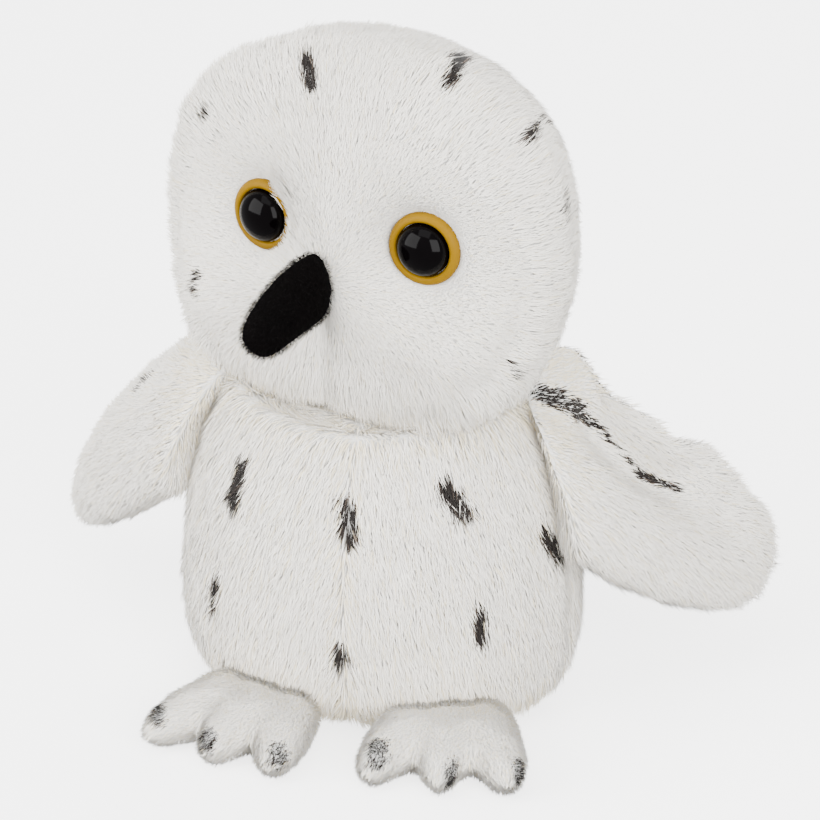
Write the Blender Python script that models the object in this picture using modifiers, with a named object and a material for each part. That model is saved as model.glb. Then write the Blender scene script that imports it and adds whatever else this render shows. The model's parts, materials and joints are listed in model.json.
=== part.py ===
"""A small white plush owl: stuffed body and head, two flippers, two feet, felt beak and plastic eyes.

Metres, +Z up. The owl faces -Y and stands on z = 0, with the origin under the middle of its body.
Each stuffed form is drawn once as a cage of rings, smoothed and set to its real size. Its cover
panels, its stuffing and the clearances of its neighbours all come from that one form.
"""

import math

import bmesh
import bpy
from mathutils import Matrix, Vector
from mathutils.bvhtree import BVHTree

# Driving sizes: body
BODY_HALF_WIDTH = 0.0416
BODY_FRONT = 0.0300
BODY_BACK = 0.0330
BODY_HEIGHT = 0.0820
BASE_SEAM_HEIGHT = 0.0032
SIDE_SEAM_SETBACK = -0.0040

# Driving sizes: head, turned about its neck
HEAD_HALF_WIDTH = 0.0430
HEAD_FRONT = 0.0150
HEAD_BACK = 0.0350
HEAD_HEIGHT = 0.0775
HEAD_SINK = 0.0180
HEAD_TURN_DEG = -16.0
NECK_RADIUS = 0.0140
NECK_LEFTWARD = -0.0020
NECK_FORWARD = 0.0020
CHEEK_BULGE = 0.0045
CHEEK_RISE = 0.0165
CHEEK_SPACING = 0.0580
CHEEK_RADIUS = 0.0150

# Driving sizes: eyes, their height from the bottom of the head and their seats' depth from its front
EYE_DIAMETER = 0.0150
EYE_SPACING = 0.0368
EYE_RISE = 0.0410
EYE_SINK = 0.0067
EYE_SPLAY_DEG = 6.0
PUPIL_DIAMETER = 0.0108

# Driving sizes: beak
BEAK_HEIGHT = 0.0150
BEAK_WIDTH = 0.0078
BEAK_RISE = 0.0318
BEAK_LENGTH = 0.0200
BEAK_DROP = 0.0070
BEAK_SIDE_BEND = 0.0030
BEAK_ROOT_LEFTWARD = -0.0010

# Driving sizes: wings, hinged below the body's top, each tip measured from the middle of its hinge line
WING_CHORD = 0.0340
WING_THICKNESS = 0.0150
WING_HINGE_DEPTH = 0.0180
WING_HINGE_SPAN = 0.0240
WING_REACH_OUT = 0.0430
WING_REACH_BACK = 0.0360
WING_DROOP = 0.0420
LEFT_WING_CURL = 0.0075
LEFT_WING_BOW = 0.0050
LEFT_WING_ROOT_DROP = 0.0005
RIGHT_WING_CURL = 0.0015
RIGHT_WING_BOW = 0.0000
RIGHT_WING_ROOT_DROP = 0.0000

# Driving sizes: feet, reaching forward from their hinge lines
LEFT_FOOT_LEFTWARD = 0.0183
LEFT_FOOT_SPLAY_DEG = 7.0
RIGHT_FOOT_LEFTWARD = -0.0125
RIGHT_FOOT_SPLAY_DEG = -13.0
FOOT_ROOT_WIDTH = 0.0225
FOOT_WIDTH = 0.0385
FOOT_LENGTH = 0.0300
FOOT_THICKNESS = 0.0105
FOOT_HINGE_HEIGHT = 0.0020
FOOT_SEAM_HEIGHT = 0.0030

# Fabrics and clearances
LONG_PLUSH = 0.0020
SHORT_PLUSH = 0.0015
FELT = 0.0010
GAP = 0.0003
NECK_GAP = 0.0005
FLAT_CUT = 0.0005
WELD_DISTANCE = 0.000002
OVERRUN = 0.0200
REACH = 0.3000

# Travel from the rest pose, in degrees
WING_FORWARD_DEG = 50.0
WING_BACK_DEG = 8.0
FOOT_UP_DEG = 12.0
FOOT_DOWN_DEG = 25.0

SIDES = {"left": 1, "right": -1}
HALF_GAP = GAP / 2


# The scene

def clear_scene():
    for old in list(bpy.data.objects):
        bpy.data.objects.remove(old, do_unlink=True)


def new_collection(name):
    made = bpy.data.collections.new(name)
    bpy.context.scene.collection.children.link(made)
    return made


def material(name, colour, roughness):
    """A Principled material with one colour and no metal."""
    made = bpy.data.materials.new(name)
    made.use_nodes = True
    shader = made.node_tree.nodes["Principled BSDF"]
    shader.inputs["Base Color"].default_value = (*colour, 1.0)
    shader.inputs["Roughness"].default_value = roughness
    shader.inputs["Metallic"].default_value = 0.0
    return made


clear_scene()
OWL = new_collection("plush_owl")
CUTTERS = new_collection("cutters")

LONG_WHITE = material("long white plush", (0.90, 0.89, 0.86), 0.95)
SHORT_WHITE = material("short white plush", (0.93, 0.92, 0.90), 0.95)
STUFFING = material("polyester stuffing", (0.95, 0.95, 0.95), 0.90)
POUCH_CLOTH = material("pouch cloth", (0.75, 0.72, 0.66), 0.90)
BLACK_FELT = material("black felt", (0.012, 0.011, 0.011), 0.95)
YELLOW_PLASTIC = material("yellow plastic", (0.72, 0.42, 0.01), 0.25)
BLACK_PLASTIC = material("black plastic", (0.010, 0.008, 0.007), 0.08)
WHITE_PLASTIC = material("white plastic", (0.80, 0.80, 0.78), 0.45)


# Meshes

def evaluated_mesh(holder):
    """The mesh of an object with its modifiers applied; the object is removed."""
    graph = bpy.context.evaluated_depsgraph_get()
    made = bpy.data.meshes.new_from_object(holder.evaluated_get(graph))
    bpy.data.objects.remove(holder, do_unlink=True)
    return made


def soft_form(name, ring_shares, segments, half_width, front, back, bottom, top):
    """A stuffed form along Z, from ring shares of height, half width, front depth and back depth."""
    cage = bmesh.new()
    bmesh.ops.create_uvsphere(cage, u_segments=segments, v_segments=len(ring_shares) + 1, radius=1)
    levels = sorted({round(vertex.co.z, 4) for vertex in cage.verts})
    rows = [(0, 0, 0, 0), *ring_shares, (1, 0, 0, 0)]
    for vertex in cage.verts:
        height, wide, fore, aft = rows[levels.index(round(vertex.co.z, 4))]
        around = vertex.co.xy.normalized()
        vertex.co = (around.x * wide, around.y * (fore if around.y < 0 else aft), height)
    mesh = bpy.data.meshes.new(name)
    cage.to_mesh(mesh)
    cage.free()
    holder = bpy.data.objects.new(name, mesh)
    CUTTERS.objects.link(holder)
    smooth = holder.modifiers.new("smooth", "SUBSURF")
    smooth.levels = 1
    smooth.render_levels = 1
    made = evaluated_mesh(holder)
    points = [vertex.co.copy() for vertex in made.vertices]
    widest = max(point.x for point in points)
    foremost = -min(point.y for point in points)
    rearmost = max(point.y for point in points)
    lowest = min(point.z for point in points)
    tallness = max(point.z for point in points) - lowest
    for vertex, point in zip(made.vertices, points):
        depth = point.y / foremost * front if point.y < 0 else point.y / rearmost * back
        height = (point.z - lowest) / tallness
        vertex.co = (point.x / widest * half_width, depth, bottom + height * (top - bottom))
    return made


def moved(mesh, place):
    """A copy of a closed mesh with each point sent through a function, its faces turned outward.

    Its faces are split into triangles here, so that every offset of a form bends along the same lines.
    """
    work = bmesh.new()
    work.from_mesh(mesh)
    for vertex in work.verts:
        vertex.co = place(vertex.co.copy())
    bmesh.ops.triangulate(work, faces=work.faces)
    work.normal_update()
    bmesh.ops.recalc_face_normals(work, faces=work.faces)
    made = bpy.data.meshes.new(mesh.name)
    work.to_mesh(made)
    work.free()
    return made


def offset(mesh, distance):
    """A copy of the mesh grown by a distance along its normals, or shrunk by a negative one."""
    made = mesh.copy()
    normals = [vertex.normal.copy() for vertex in made.vertices]
    for vertex, normal in zip(made.vertices, normals):
        vertex.co += normal * distance
    return made


def turned_mesh(name, profile, segments, closed=False):
    """A turned shape: a profile of radius and height, down its outer side, spun about Z."""
    mesh = bpy.data.meshes.new(name)
    edges = [(i, i + 1) for i in range(len(profile) - 1)]
    if closed:
        edges.append((len(profile) - 1, 0))
    mesh.from_pydata([(radius, 0, height) for radius, height in profile], edges, [])
    holder = bpy.data.objects.new(name, mesh)
    CUTTERS.objects.link(holder)
    spin = holder.modifiers.new("spin", "SCREW")
    spin.steps = segments
    spin.render_steps = segments
    spin.use_merge_vertices = True
    spin.merge_threshold = 0.00001
    return evaluated_mesh(holder)


def surface_point(mesh, start, direction):
    """Where a line from outside first meets a form."""
    corners = [vertex.co for vertex in mesh.vertices]
    tree = BVHTree.FromPolygons(corners, [face.vertices for face in mesh.polygons])
    return tree.ray_cast(Vector(start), Vector(direction))[0]


def curve_point(ends, share):
    """A point on the quadratic curve through two ends, drawn towards the middle point."""
    start, middle, end = ends
    return start * (1 - share) ** 2 + middle * 2 * share * (1 - share) + end * share**2


def curve_direction(ends, share):
    start, middle, end = ends
    return ((middle - start) * (1 - share) + (end - middle) * share).normalized()


# Cutters

def cutter(name, mesh, matrix=None):
    """A hidden object for Booleans."""
    made = bpy.data.objects.new(name, mesh)
    made.matrix_world = matrix or Matrix()
    made.hide_render = True
    made.display_type = "WIRE"
    CUTTERS.objects.link(made)
    return made


def box_cutter(name, low, high, matrix=None, base_share=1.0):
    """A box between two corners; its bottom can be a share as wide as its top, for a wedge."""
    work = bmesh.new()
    bmesh.ops.create_cube(work, size=1)
    for vertex in work.verts:
        spread = base_share if vertex.co.z < 0 else 1.0
        vertex.co = [
            (a + b) / 2 + share * (b - a) * (spread if i == 0 else 1.0)
            for i, (share, a, b) in enumerate(zip(vertex.co, low, high))
        ]
    mesh = bpy.data.meshes.new(name)
    work.to_mesh(mesh)
    work.free()
    return cutter(name, mesh, matrix)


def drum_cutter(name, radius, top_radius, low, high, segments, matrix=None):
    """A round cutter along its own Z axis, straight or conical."""
    work = bmesh.new()
    bmesh.ops.create_cone(
        work, cap_ends=True, segments=segments, radius1=radius, radius2=top_radius, depth=high - low
    )
    bmesh.ops.translate(work, verts=work.verts, vec=(0, 0, (high + low) / 2))
    mesh = bpy.data.meshes.new(name)
    work.to_mesh(mesh)
    work.free()
    return cutter(name, mesh, matrix)


def apply_tools(target, keep=(), cut=(), join=()):
    """Booleans one after another, each followed by a weld of the corners that it leaves together."""
    for operation, tools in (("UNION", join), ("INTERSECT", keep), ("DIFFERENCE", cut)):
        for tool in tools:
            trim = target.modifiers.new(tool.name, "BOOLEAN")
            trim.operation = operation
            trim.solver = "MANIFOLD"
            trim.object = tool
            weld = target.modifiers.new(f"{tool.name} weld", "WELD")
            weld.merge_threshold = WELD_DISTANCE


def trimmed(name, mesh, keep=(), cut=(), join=()):
    """A mesh in world space after its Booleans, for a form that several pieces share."""
    holder = cutter(name, mesh.copy())
    apply_tools(holder, keep, cut, join)
    return evaluated_mesh(holder)


# Pieces

def axis_empty(name, matrix, parent=None):
    made = bpy.data.objects.new(name, None)
    made.matrix_world = matrix
    made.empty_display_size = OVERRUN
    OWL.objects.link(made)
    if parent:
        made.parent = parent
        made.matrix_parent_inverse = parent.matrix_world.inverted()
    bpy.context.view_layer.update()
    return made


def piece(name, mesh, finish, parent, keep=(), cut=(), join=()):
    """A named piece under its parent's axis, from a mesh in world space, trimmed by cutters."""
    own = mesh.copy()
    own.name = name
    own.transform(parent.matrix_world.inverted())
    own.materials.clear()
    own.materials.append(finish)
    own.shade_smooth()
    own.set_sharp_from_angle(angle=math.radians(40))
    made = bpy.data.objects.new(name, own)
    made.parent = parent
    OWL.objects.link(made)
    apply_tools(made, keep, cut, join)
    return made


def turned_about(point, axis, degrees):
    place = Matrix.Translation(point)
    return place @ Matrix.Rotation(math.radians(degrees), 4, axis) @ place.inverted()


FLOOR = box_cutter("floor", (-REACH, -REACH, -REACH), (REACH, REACH, 0))
OWL_ROOT = axis_empty("owl_root", Matrix())
NECK = Matrix.Translation((NECK_LEFTWARD, -NECK_FORWARD, 0))
HEAD_AXIS = axis_empty("head_axis", NECK @ Matrix.Rotation(math.radians(HEAD_TURN_DEG), 4, "Z"), OWL_ROOT)

# The head form: a broad pillow, flat in front, with a low ridge between the eyes and full cheeks

HEAD_RING_SHARES = [
    (0.035, 0.54, 0.84, 0.50),
    (0.160, 0.86, 1.09, 0.81),
    (0.370, 0.99, 1.05, 0.98),
    (0.630, 1.00, 0.98, 1.00),
    (0.840, 0.84, 0.82, 0.84),
    (0.960, 0.44, 0.42, 0.45),
]
HEAD_SEGMENTS = 10
RIDGE_HEIGHT = 0.0030
RIDGE_HALF_WIDTH = 0.0095
HEAD_BOTTOM = BODY_HEIGHT - HEAD_SINK
HEAD_TOP = HEAD_BOTTOM + HEAD_HEIGHT
HEAD_MIDDLE = HEAD_BOTTOM + HEAD_HEIGHT / 2


def faced(point):
    """Brings the middle of the face forward, most between the eyes, and each cheek below them."""
    if point.y >= 0:
        return point
    across = math.exp(-((point.x / RIDGE_HALF_WIDTH) ** 2))
    upright = math.cos(math.pi * (point.z - HEAD_MIDDLE) / HEAD_HEIGHT)
    ahead = RIDGE_HEIGHT * across * upright
    cheek_x = (abs(point.x) - CHEEK_SPACING / 2) / CHEEK_RADIUS
    cheek_z = (point.z - HEAD_BOTTOM - CHEEK_RISE) / CHEEK_RADIUS
    frontal = min(-point.y / CHEEK_BULGE, 1)
    ahead += CHEEK_BULGE * math.exp(-(cheek_x**2) - cheek_z**2) * frontal
    return point - Vector((0, ahead, 0))


face_outline = moved(
    soft_form(
        "head_form", HEAD_RING_SHARES, HEAD_SEGMENTS,
        HEAD_HALF_WIDTH, HEAD_FRONT, HEAD_BACK, HEAD_BOTTOM, HEAD_TOP,
    ),
    faced,
)
head_form = moved(face_outline, lambda point: HEAD_AXIS.matrix_world @ point)

# The space that the turning head needs is its side outline, all the way round
SWEEP_RING_SHARES = [(height, wide, wide, wide) for height, wide, _, _ in HEAD_RING_SHARES]
head_sweep = moved(
    soft_form(
        "head_sweep", SWEEP_RING_SHARES, HEAD_SEGMENTS,
        HEAD_HALF_WIDTH, HEAD_HALF_WIDTH, HEAD_HALF_WIDTH, HEAD_BOTTOM, HEAD_TOP,
    ),
    lambda point: NECK @ point,
)

# Body: four side panels and a base panel round the stuffing, weighed down by a pouch of pellets

BODY_RING_SHARES = [
    (0.000, 0.70, 0.60, 0.64),
    (0.040, 0.92, 0.85, 0.87),
    (0.200, 1.00, 0.99, 0.99),
    (0.450, 0.97, 0.97, 0.98),
    (0.710, 0.87, 0.75, 0.83),
    (0.910, 0.62, 0.50, 0.56),
]
BODY_SEGMENTS = 10
POUCH_RING_SHARES = [
    (0.02, 0.80, 0.80, 0.80),
    (0.30, 1.00, 1.00, 1.00),
    (0.70, 0.90, 0.90, 0.90),
    (0.96, 0.50, 0.50, 0.50),
]
POUCH_SEGMENTS = 10
POUCH_HALF_WIDTH = 0.0250
POUCH_HALF_DEPTH = 0.0170
POUCH_HEIGHT = 0.0150
POUCH_MOUTH_RADIUS = 0.0120
NECK_SEGMENTS = 16
FILL_INSET = LONG_PLUSH + GAP

body_form = soft_form(
    "body_form", BODY_RING_SHARES, BODY_SEGMENTS,
    BODY_HALF_WIDTH, BODY_FRONT, BODY_BACK, -FLAT_CUT, BODY_HEIGHT,
)
skin_dish = cutter("skin_dish", offset(head_sweep, NECK_GAP))
cavity_dish = cutter("cavity_dish", offset(head_sweep, NECK_GAP + LONG_PLUSH))
fill_dish = cutter("fill_dish", offset(head_sweep, NECK_GAP + FILL_INSET))
body_cavity = cutter("body_cavity", trimmed("cavity", offset(body_form, -LONG_PLUSH), cut=[cavity_dish]))
neck_hole = drum_cutter(
    "neck_hole", NECK_RADIUS, NECK_RADIUS,
    HEAD_BOTTOM - OVERRUN / 2, HEAD_BOTTOM + OVERRUN / 2, NECK_SEGMENTS, NECK,
)
above_base = box_cutter("above_base", (-REACH, -REACH, BASE_SEAM_HEIGHT + HALF_GAP), (REACH, REACH, REACH))
below_base = box_cutter("below_base", (-REACH, -REACH, -REACH), (REACH, REACH, BASE_SEAM_HEIGHT - HALF_GAP))
body_shell = trimmed("body_shell", body_form, keep=[above_base], cut=[skin_dish, body_cavity, neck_hole])
SEAM_LIMITS = {
    "front_left": ((HALF_GAP, -REACH, -REACH), (REACH, SIDE_SEAM_SETBACK - HALF_GAP, REACH)),
    "front_right": ((-REACH, -REACH, -REACH), (-HALF_GAP, SIDE_SEAM_SETBACK - HALF_GAP, REACH)),
    "back_left": ((HALF_GAP, SIDE_SEAM_SETBACK + HALF_GAP, -REACH), (REACH, REACH, REACH)),
    "back_right": ((-REACH, SIDE_SEAM_SETBACK + HALF_GAP, -REACH), (-HALF_GAP, REACH, REACH)),
}
for place, (low, high) in SEAM_LIMITS.items():
    region = box_cutter(f"{place}_region", low, high)
    piece(f"body_{place}_panel", body_shell, LONG_WHITE, OWL_ROOT, keep=[region])
piece("body_base_panel", body_form, LONG_WHITE, OWL_ROOT, keep=[below_base], cut=[FLOOR, body_cavity])


pouch_form = soft_form(
    "pouch_form", POUCH_RING_SHARES, POUCH_SEGMENTS,
    POUCH_HALF_WIDTH, POUCH_HALF_DEPTH, POUCH_HALF_DEPTH, FILL_INSET, FILL_INSET + POUCH_HEIGHT,
)
piece("pellet_pouch", pouch_form, POUCH_CLOTH, OWL_ROOT)
pouch_pocket = cutter("pouch_pocket", offset(pouch_form, GAP))
pouch_mouth = drum_cutter(
    "pouch_mouth", POUCH_MOUTH_RADIUS, POUCH_MOUTH_RADIUS, -OVERRUN, FILL_INSET + POUCH_HEIGHT / 2, NECK_SEGMENTS
)
neck_column = drum_cutter(
    "neck_column", NECK_RADIUS - GAP, NECK_RADIUS - GAP,
    HEAD_BOTTOM - OVERRUN / 2, HEAD_BOTTOM + LONG_PLUSH, NECK_SEGMENTS, NECK,
)
body_fill = trimmed("body_fill", offset(body_form, -FILL_INSET), cut=[fill_dish])
piece("body_stuffing", body_fill, STUFFING, OWL_ROOT, join=[neck_column], cut=[pouch_pocket, pouch_mouth])

# Eyes: a yellow ring, a black dome with a ridged stem through both fabrics, and a lock washer

SEAT_RADIUS = 0.0083
SEAT_RIM_WIDTH = 0.0060
EYE_SEGMENTS = 16
RING_THICKNESS = 0.0018
RING_EDGE = 0.0007
RECESS_DEPTH = 0.0010
DOME_HEIGHT = 0.0034
DOME_SIDE = 0.0010
DOME_STEPS = 3
STEM_RADIUS = 0.0015
STEM_LENGTH = 0.0090
STEM_RIDGES = 2
STEM_RIDGE_PITCH = 0.0018
STEM_RIDGE_HEIGHT = 0.00015
WASHER_RADIUS = 0.0055
WASHER_THICKNESS = 0.0012
RING_RADIUS = EYE_DIAMETER / 2
DOME_RADIUS = PUPIL_DIAMETER / 2
BORE_RADIUS = STEM_RADIUS + GAP
FACE_INSET = SHORT_PLUSH + GAP


def eye_matrix(side):
    """The middle of an eye's seat, with +Z out of the face."""
    seat = Vector((side * EYE_SPACING / 2, EYE_SINK - HEAD_FRONT, HEAD_BOTTOM + EYE_RISE))
    splay = Matrix.Rotation(math.radians(side * EYE_SPLAY_DEG), 4, "Z")
    facing = Matrix.Rotation(math.radians(90), 4, "X")
    return HEAD_AXIS.matrix_world @ Matrix.Translation(seat) @ splay @ facing


def eye_seat(name, side, depth):
    """The round sunken seat, cut deeper for the inner layers."""
    radius = SEAT_RADIUS + depth * math.tan(math.radians(22.5))
    return drum_cutter(
        name, radius, radius + SEAT_RIM_WIDTH + OVERRUN, -depth, SEAT_RIM_WIDTH + OVERRUN - depth,
        EYE_SEGMENTS, eye_matrix(side),
    )


def iris_ring():
    floor = GAP + RING_THICKNESS - RECESS_DEPTH
    top = GAP + RING_THICKNESS
    recess = DOME_RADIUS + GAP
    profile = [
        (RING_RADIUS - RING_EDGE, top),
        (RING_RADIUS, top - RING_EDGE),
        (RING_RADIUS, GAP),
        (BORE_RADIUS, GAP),
        (BORE_RADIUS, floor),
        (recess, floor),
        (recess, top),
    ]
    return turned_mesh("iris_ring", profile, EYE_SEGMENTS, closed=True)


def pupil_dome():
    base = GAP + RING_THICKNESS - RECESS_DEPTH + GAP
    profile = []
    for step in range(DOME_STEPS + 1):
        angle = math.pi / 2 * step / DOME_STEPS
        profile.append((DOME_RADIUS * math.sin(angle), base + DOME_SIDE + DOME_HEIGHT * math.cos(angle)))
    profile += [(DOME_RADIUS, base), (STEM_RADIUS, base)]
    for ridge in range(STEM_RIDGES):
        middle = -FACE_INSET - WASHER_THICKNESS - STEM_RIDGE_PITCH * (ridge + 1)
        profile.append((STEM_RADIUS, middle + STEM_RIDGE_PITCH / 4))
        profile.append((STEM_RADIUS + STEM_RIDGE_HEIGHT, middle))
        profile.append((STEM_RADIUS, middle - STEM_RIDGE_PITCH / 4))
    profile += [(STEM_RADIUS, -STEM_LENGTH), (0, -STEM_LENGTH)]
    return turned_mesh("pupil_dome", profile, EYE_SEGMENTS)


def lock_washer():
    profile = [
        (WASHER_RADIUS, -FACE_INSET),
        (WASHER_RADIUS, -FACE_INSET - WASHER_THICKNESS),
        (BORE_RADIUS, -FACE_INSET - WASHER_THICKNESS),
        (BORE_RADIUS, -FACE_INSET),
    ]
    return turned_mesh("lock_washer", profile, EYE_SEGMENTS, closed=True)


EYE_PARTS = [
    ("eye_ring", iris_ring(), YELLOW_PLASTIC),
    ("eye_pupil", pupil_dome(), BLACK_PLASTIC),
    ("eye_lock_washer", lock_washer(), WHITE_PLASTIC),
]
eye_tools = {"skin": [], "cavity": [], "fill": [], "hole": []}
for word, side in SIDES.items():
    for part, mesh, finish in EYE_PARTS:
        eye_mesh = mesh.copy()
        eye_mesh.transform(eye_matrix(side))
        piece(f"{word}_{part}", eye_mesh, finish, HEAD_AXIS)
    washer_floor = FACE_INSET + WASHER_THICKNESS + GAP
    eye_tools["skin"].append(eye_seat(f"{word}_seat", side, 0))
    eye_tools["cavity"].append(eye_seat(f"{word}_seat_cavity", side, SHORT_PLUSH))
    eye_tools["fill"].append(eye_seat(f"{word}_seat_fill", side, FACE_INSET))
    eye_tools["hole"].append(
        drum_cutter(
            f"{word}_stem_hole", BORE_RADIUS, BORE_RADIUS, -STEM_LENGTH - GAP, OVERRUN,
            EYE_SEGMENTS, eye_matrix(side),
        )
    )
    eye_tools["fill"].append(
        drum_cutter(
            f"{word}_washer_pocket", WASHER_RADIUS + GAP, WASHER_RADIUS + GAP, -washer_floor, OVERRUN,
            EYE_SEGMENTS, eye_matrix(side),
        )
    )

# Head: two face discs, a gusset from the beak over the crown, and two hood panels behind

DISC_SIDE_RIM = 0.0040
DISC_END_RIM = 0.0098
DISC_DROP = 0.0042
DISC_SETBACK = 0.0030
DISC_SEGMENTS = 20
DISC_HALF_WIDTH = HEAD_HALF_WIDTH - DISC_SIDE_RIM
DISC_HALF_HEIGHT = HEAD_HEIGHT / 2 - DISC_END_RIM
DISC_MIDDLE = HEAD_MIDDLE - DISC_DROP
BEAK_ROOT_HEIGHT = HEAD_BOTTOM + BEAK_RISE
GUSSET_TIP_HEIGHT = BEAK_ROOT_HEIGHT + BEAK_HEIGHT / 2
GUSSET_TIP_SHARE = 0.22
GUSSET_HALF_WIDTH = 0.0150


def disc_region(name, margin):
    """The front of the head inside an upright oval."""
    drum = drum_cutter(name, 1, 1, 0, 1, DISC_SEGMENTS)
    for vertex in drum.data.vertices:
        across, up, along = vertex.co
        vertex.co = (
            across * (DISC_HALF_WIDTH + margin),
            DISC_SETBACK - along * REACH,
            DISC_MIDDLE + up * (DISC_HALF_HEIGHT + margin),
        )
    drum.data = moved(drum.data, lambda point: HEAD_AXIS.matrix_world @ point)
    return drum


def gusset_region(name, margin):
    return box_cutter(
        name,
        (-GUSSET_HALF_WIDTH - margin, -REACH, GUSSET_TIP_HEIGHT - margin),
        (GUSSET_HALF_WIDTH + margin, REACH, HEAD_TOP + GAP),
        HEAD_AXIS.matrix_world, GUSSET_TIP_SHARE,
    )


head_cavity_form = offset(head_form, -LONG_PLUSH)
head_cavity = cutter("head_cavity", trimmed("cavity", head_cavity_form, cut=eye_tools["cavity"]))
face_disc = disc_region("face_disc", -HALF_GAP)
face_disc_clear = disc_region("face_disc_clear", HALF_GAP)
gusset = gusset_region("gusset", -HALF_GAP)
gusset_clear = gusset_region("gusset_clear", HALF_GAP)
head_openings = [*eye_tools["skin"], *eye_tools["hole"], head_cavity, neck_hole]
face_skin = trimmed("face_skin", head_form, keep=[face_disc], cut=[gusset_clear, *head_openings])
hood_skin = trimmed("hood_skin", head_form, cut=[face_disc_clear, gusset_clear, *head_openings])
piece("head_gusset", head_form, LONG_WHITE, HEAD_AXIS, keep=[gusset], cut=head_openings)
HALVES = {
    "left": ((HALF_GAP, -REACH, -REACH), (REACH, REACH, REACH)),
    "right": ((-REACH, -REACH, -REACH), (-HALF_GAP, REACH, REACH)),
}
for word, (low, high) in HALVES.items():
    half = box_cutter(f"{word}_half", low, high, HEAD_AXIS.matrix_world)
    piece(f"face_{word}_panel", face_skin, SHORT_WHITE, HEAD_AXIS, keep=[half])
    piece(f"hood_{word}_panel", hood_skin, LONG_WHITE, HEAD_AXIS, keep=[half])
piece(
    "head_stuffing", offset(head_form, -FILL_INSET), STUFFING, HEAD_AXIS,
    cut=[*eye_tools["fill"], *eye_tools["hole"]],
)

# Beak: a stuffed felt cone that curves down and a little to the owl's right

BEAK_RING_SHARES = [
    (0.10, 0.90, 0.90, 0.90),
    (0.36, 1.00, 1.00, 1.00),
    (0.68, 0.92, 0.86, 0.86),
    (0.93, 0.70, 0.66, 0.66),
]
BEAK_SEGMENTS = 6
BEAK_SINK = 0.0060

root_face = surface_point(face_outline, (BEAK_ROOT_LEFTWARD, -REACH, BEAK_ROOT_HEIGHT), (0, 1, 0))
BEAK_COURSE = (
    root_face + Vector((0, BEAK_SINK, 0)),
    root_face + Vector((0, -BEAK_LENGTH / 2, BEAK_DROP / 4)),
    root_face + Vector((-BEAK_SIDE_BEND, -BEAK_LENGTH, -BEAK_DROP)),
)


def beak_place(point):
    """Bends the straight form, drawn from 0 to 1 along Z, along the beak's course."""
    along = curve_direction(BEAK_COURSE, point.z)
    across = along.cross(Vector((0, 0, 1))).normalized()
    up = across.cross(along)
    spot = curve_point(BEAK_COURSE, point.z) + across * point.x - up * point.y
    return HEAD_AXIS.matrix_world @ spot


beak_form = moved(
    soft_form(
        "beak_form", BEAK_RING_SHARES, BEAK_SEGMENTS,
        BEAK_WIDTH / 2, BEAK_HEIGHT / 2, BEAK_HEIGHT / 2, 0, 1,
    ),
    beak_place,
)
face_clear = cutter("face_clear", offset(head_form, GAP))
beak_cavity = cutter("beak_cavity", offset(beak_form, -FELT))
piece("beak_cover", beak_form, BLACK_FELT, HEAD_AXIS, cut=[beak_cavity, face_clear])
piece("beak_stuffing", offset(beak_form, -FELT - GAP), STUFFING, HEAD_AXIS, cut=[face_clear])

# Wings: flat stuffed flippers, each hinged on the side seam and hanging out and back

WING_RING_SHARES = [
    (0.04, 0.90, 0.72, 0.72),
    (0.24, 1.00, 1.00, 1.00),
    (0.60, 0.94, 0.96, 0.92),
    (0.90, 0.74, 0.62, 0.60),
]
WING_SEGMENTS = 7
WING_SINK = 0.0060
HINGE_STANDOFF = 0.0012
HALF_CUTS = 5
WING_BENDS = {
    1: (LEFT_WING_CURL, LEFT_WING_BOW, LEFT_WING_ROOT_DROP),
    -1: (RIGHT_WING_CURL, RIGHT_WING_BOW, RIGHT_WING_ROOT_DROP),
}
WING_LENGTH = math.hypot(WING_REACH_OUT, WING_REACH_BACK, WING_DROOP)


def wing_frame(side):
    """The middle of a wing's hinge, its upward axis, the ways left and back, and the wing's reach."""
    spots = []
    for height in (-WING_HINGE_SPAN / 2, 0, WING_HINGE_SPAN / 2):
        start = (side * REACH, SIDE_SEAM_SETBACK, BODY_HEIGHT - WING_HINGE_DEPTH + height)
        spots.append(surface_point(body_form, start, (-side, 0, 0)))
    upward = (spots[2] - spots[0]).normalized()
    middle = spots[1] + Vector((side * HINGE_STANDOFF, 0, 0))
    reach = Vector((side * WING_REACH_OUT, WING_REACH_BACK, -WING_DROOP))
    leftward = (reach - upward * reach.dot(upward)).normalized() * side
    return middle, upward, leftward, upward.cross(leftward), reach


def wing_place(side, point):
    """Sends a point of the straight form to the wing: across the chord, through it and along it from 0 to 1."""
    middle, upward, leftward, backward, reach = wing_frame(side)
    outward = leftward * side
    across = (upward * reach.dot(outward) - outward * reach.dot(upward)).normalized()
    root = -reach.normalized() * WING_SINK
    curl, bow, root_drop = WING_BENDS[side]
    rim = min(max(point.x / (WING_CHORD / 2), 0), 1)
    lowered = (root_drop + bow * 4 * point.z) * (1 - point.z)
    chordwise = across * (point.x - lowered)
    return middle + root.lerp(reach, point.z) + chordwise + backward * (point.y - curl * rim**2)


def wing_form(side, inset):
    """A flipper with sections square to its length, its rear edge curled forward."""
    end_share = inset / WING_LENGTH
    half_depth = WING_THICKNESS / 2 - inset
    straight = soft_form(
        "wing_form", WING_RING_SHARES, WING_SEGMENTS,
        WING_CHORD / 2 - inset, half_depth, half_depth, end_share, 1 - end_share,
    )
    return moved(straight, lambda point: wing_place(side, point))


def wing_half(name, side, low, high):
    """A region of the wing between two depths, curled as the wing is."""
    block = box_cutter(name, (-WING_CHORD, low, -1), (WING_CHORD, high, 2))
    work = bmesh.new()
    work.from_mesh(block.data)
    bmesh.ops.subdivide_edges(work, edges=work.edges, cuts=HALF_CUTS, use_grid_fill=True)
    work.to_mesh(block.data)
    work.free()
    block.data = moved(block.data, lambda point: wing_place(side, point))
    return block


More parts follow.
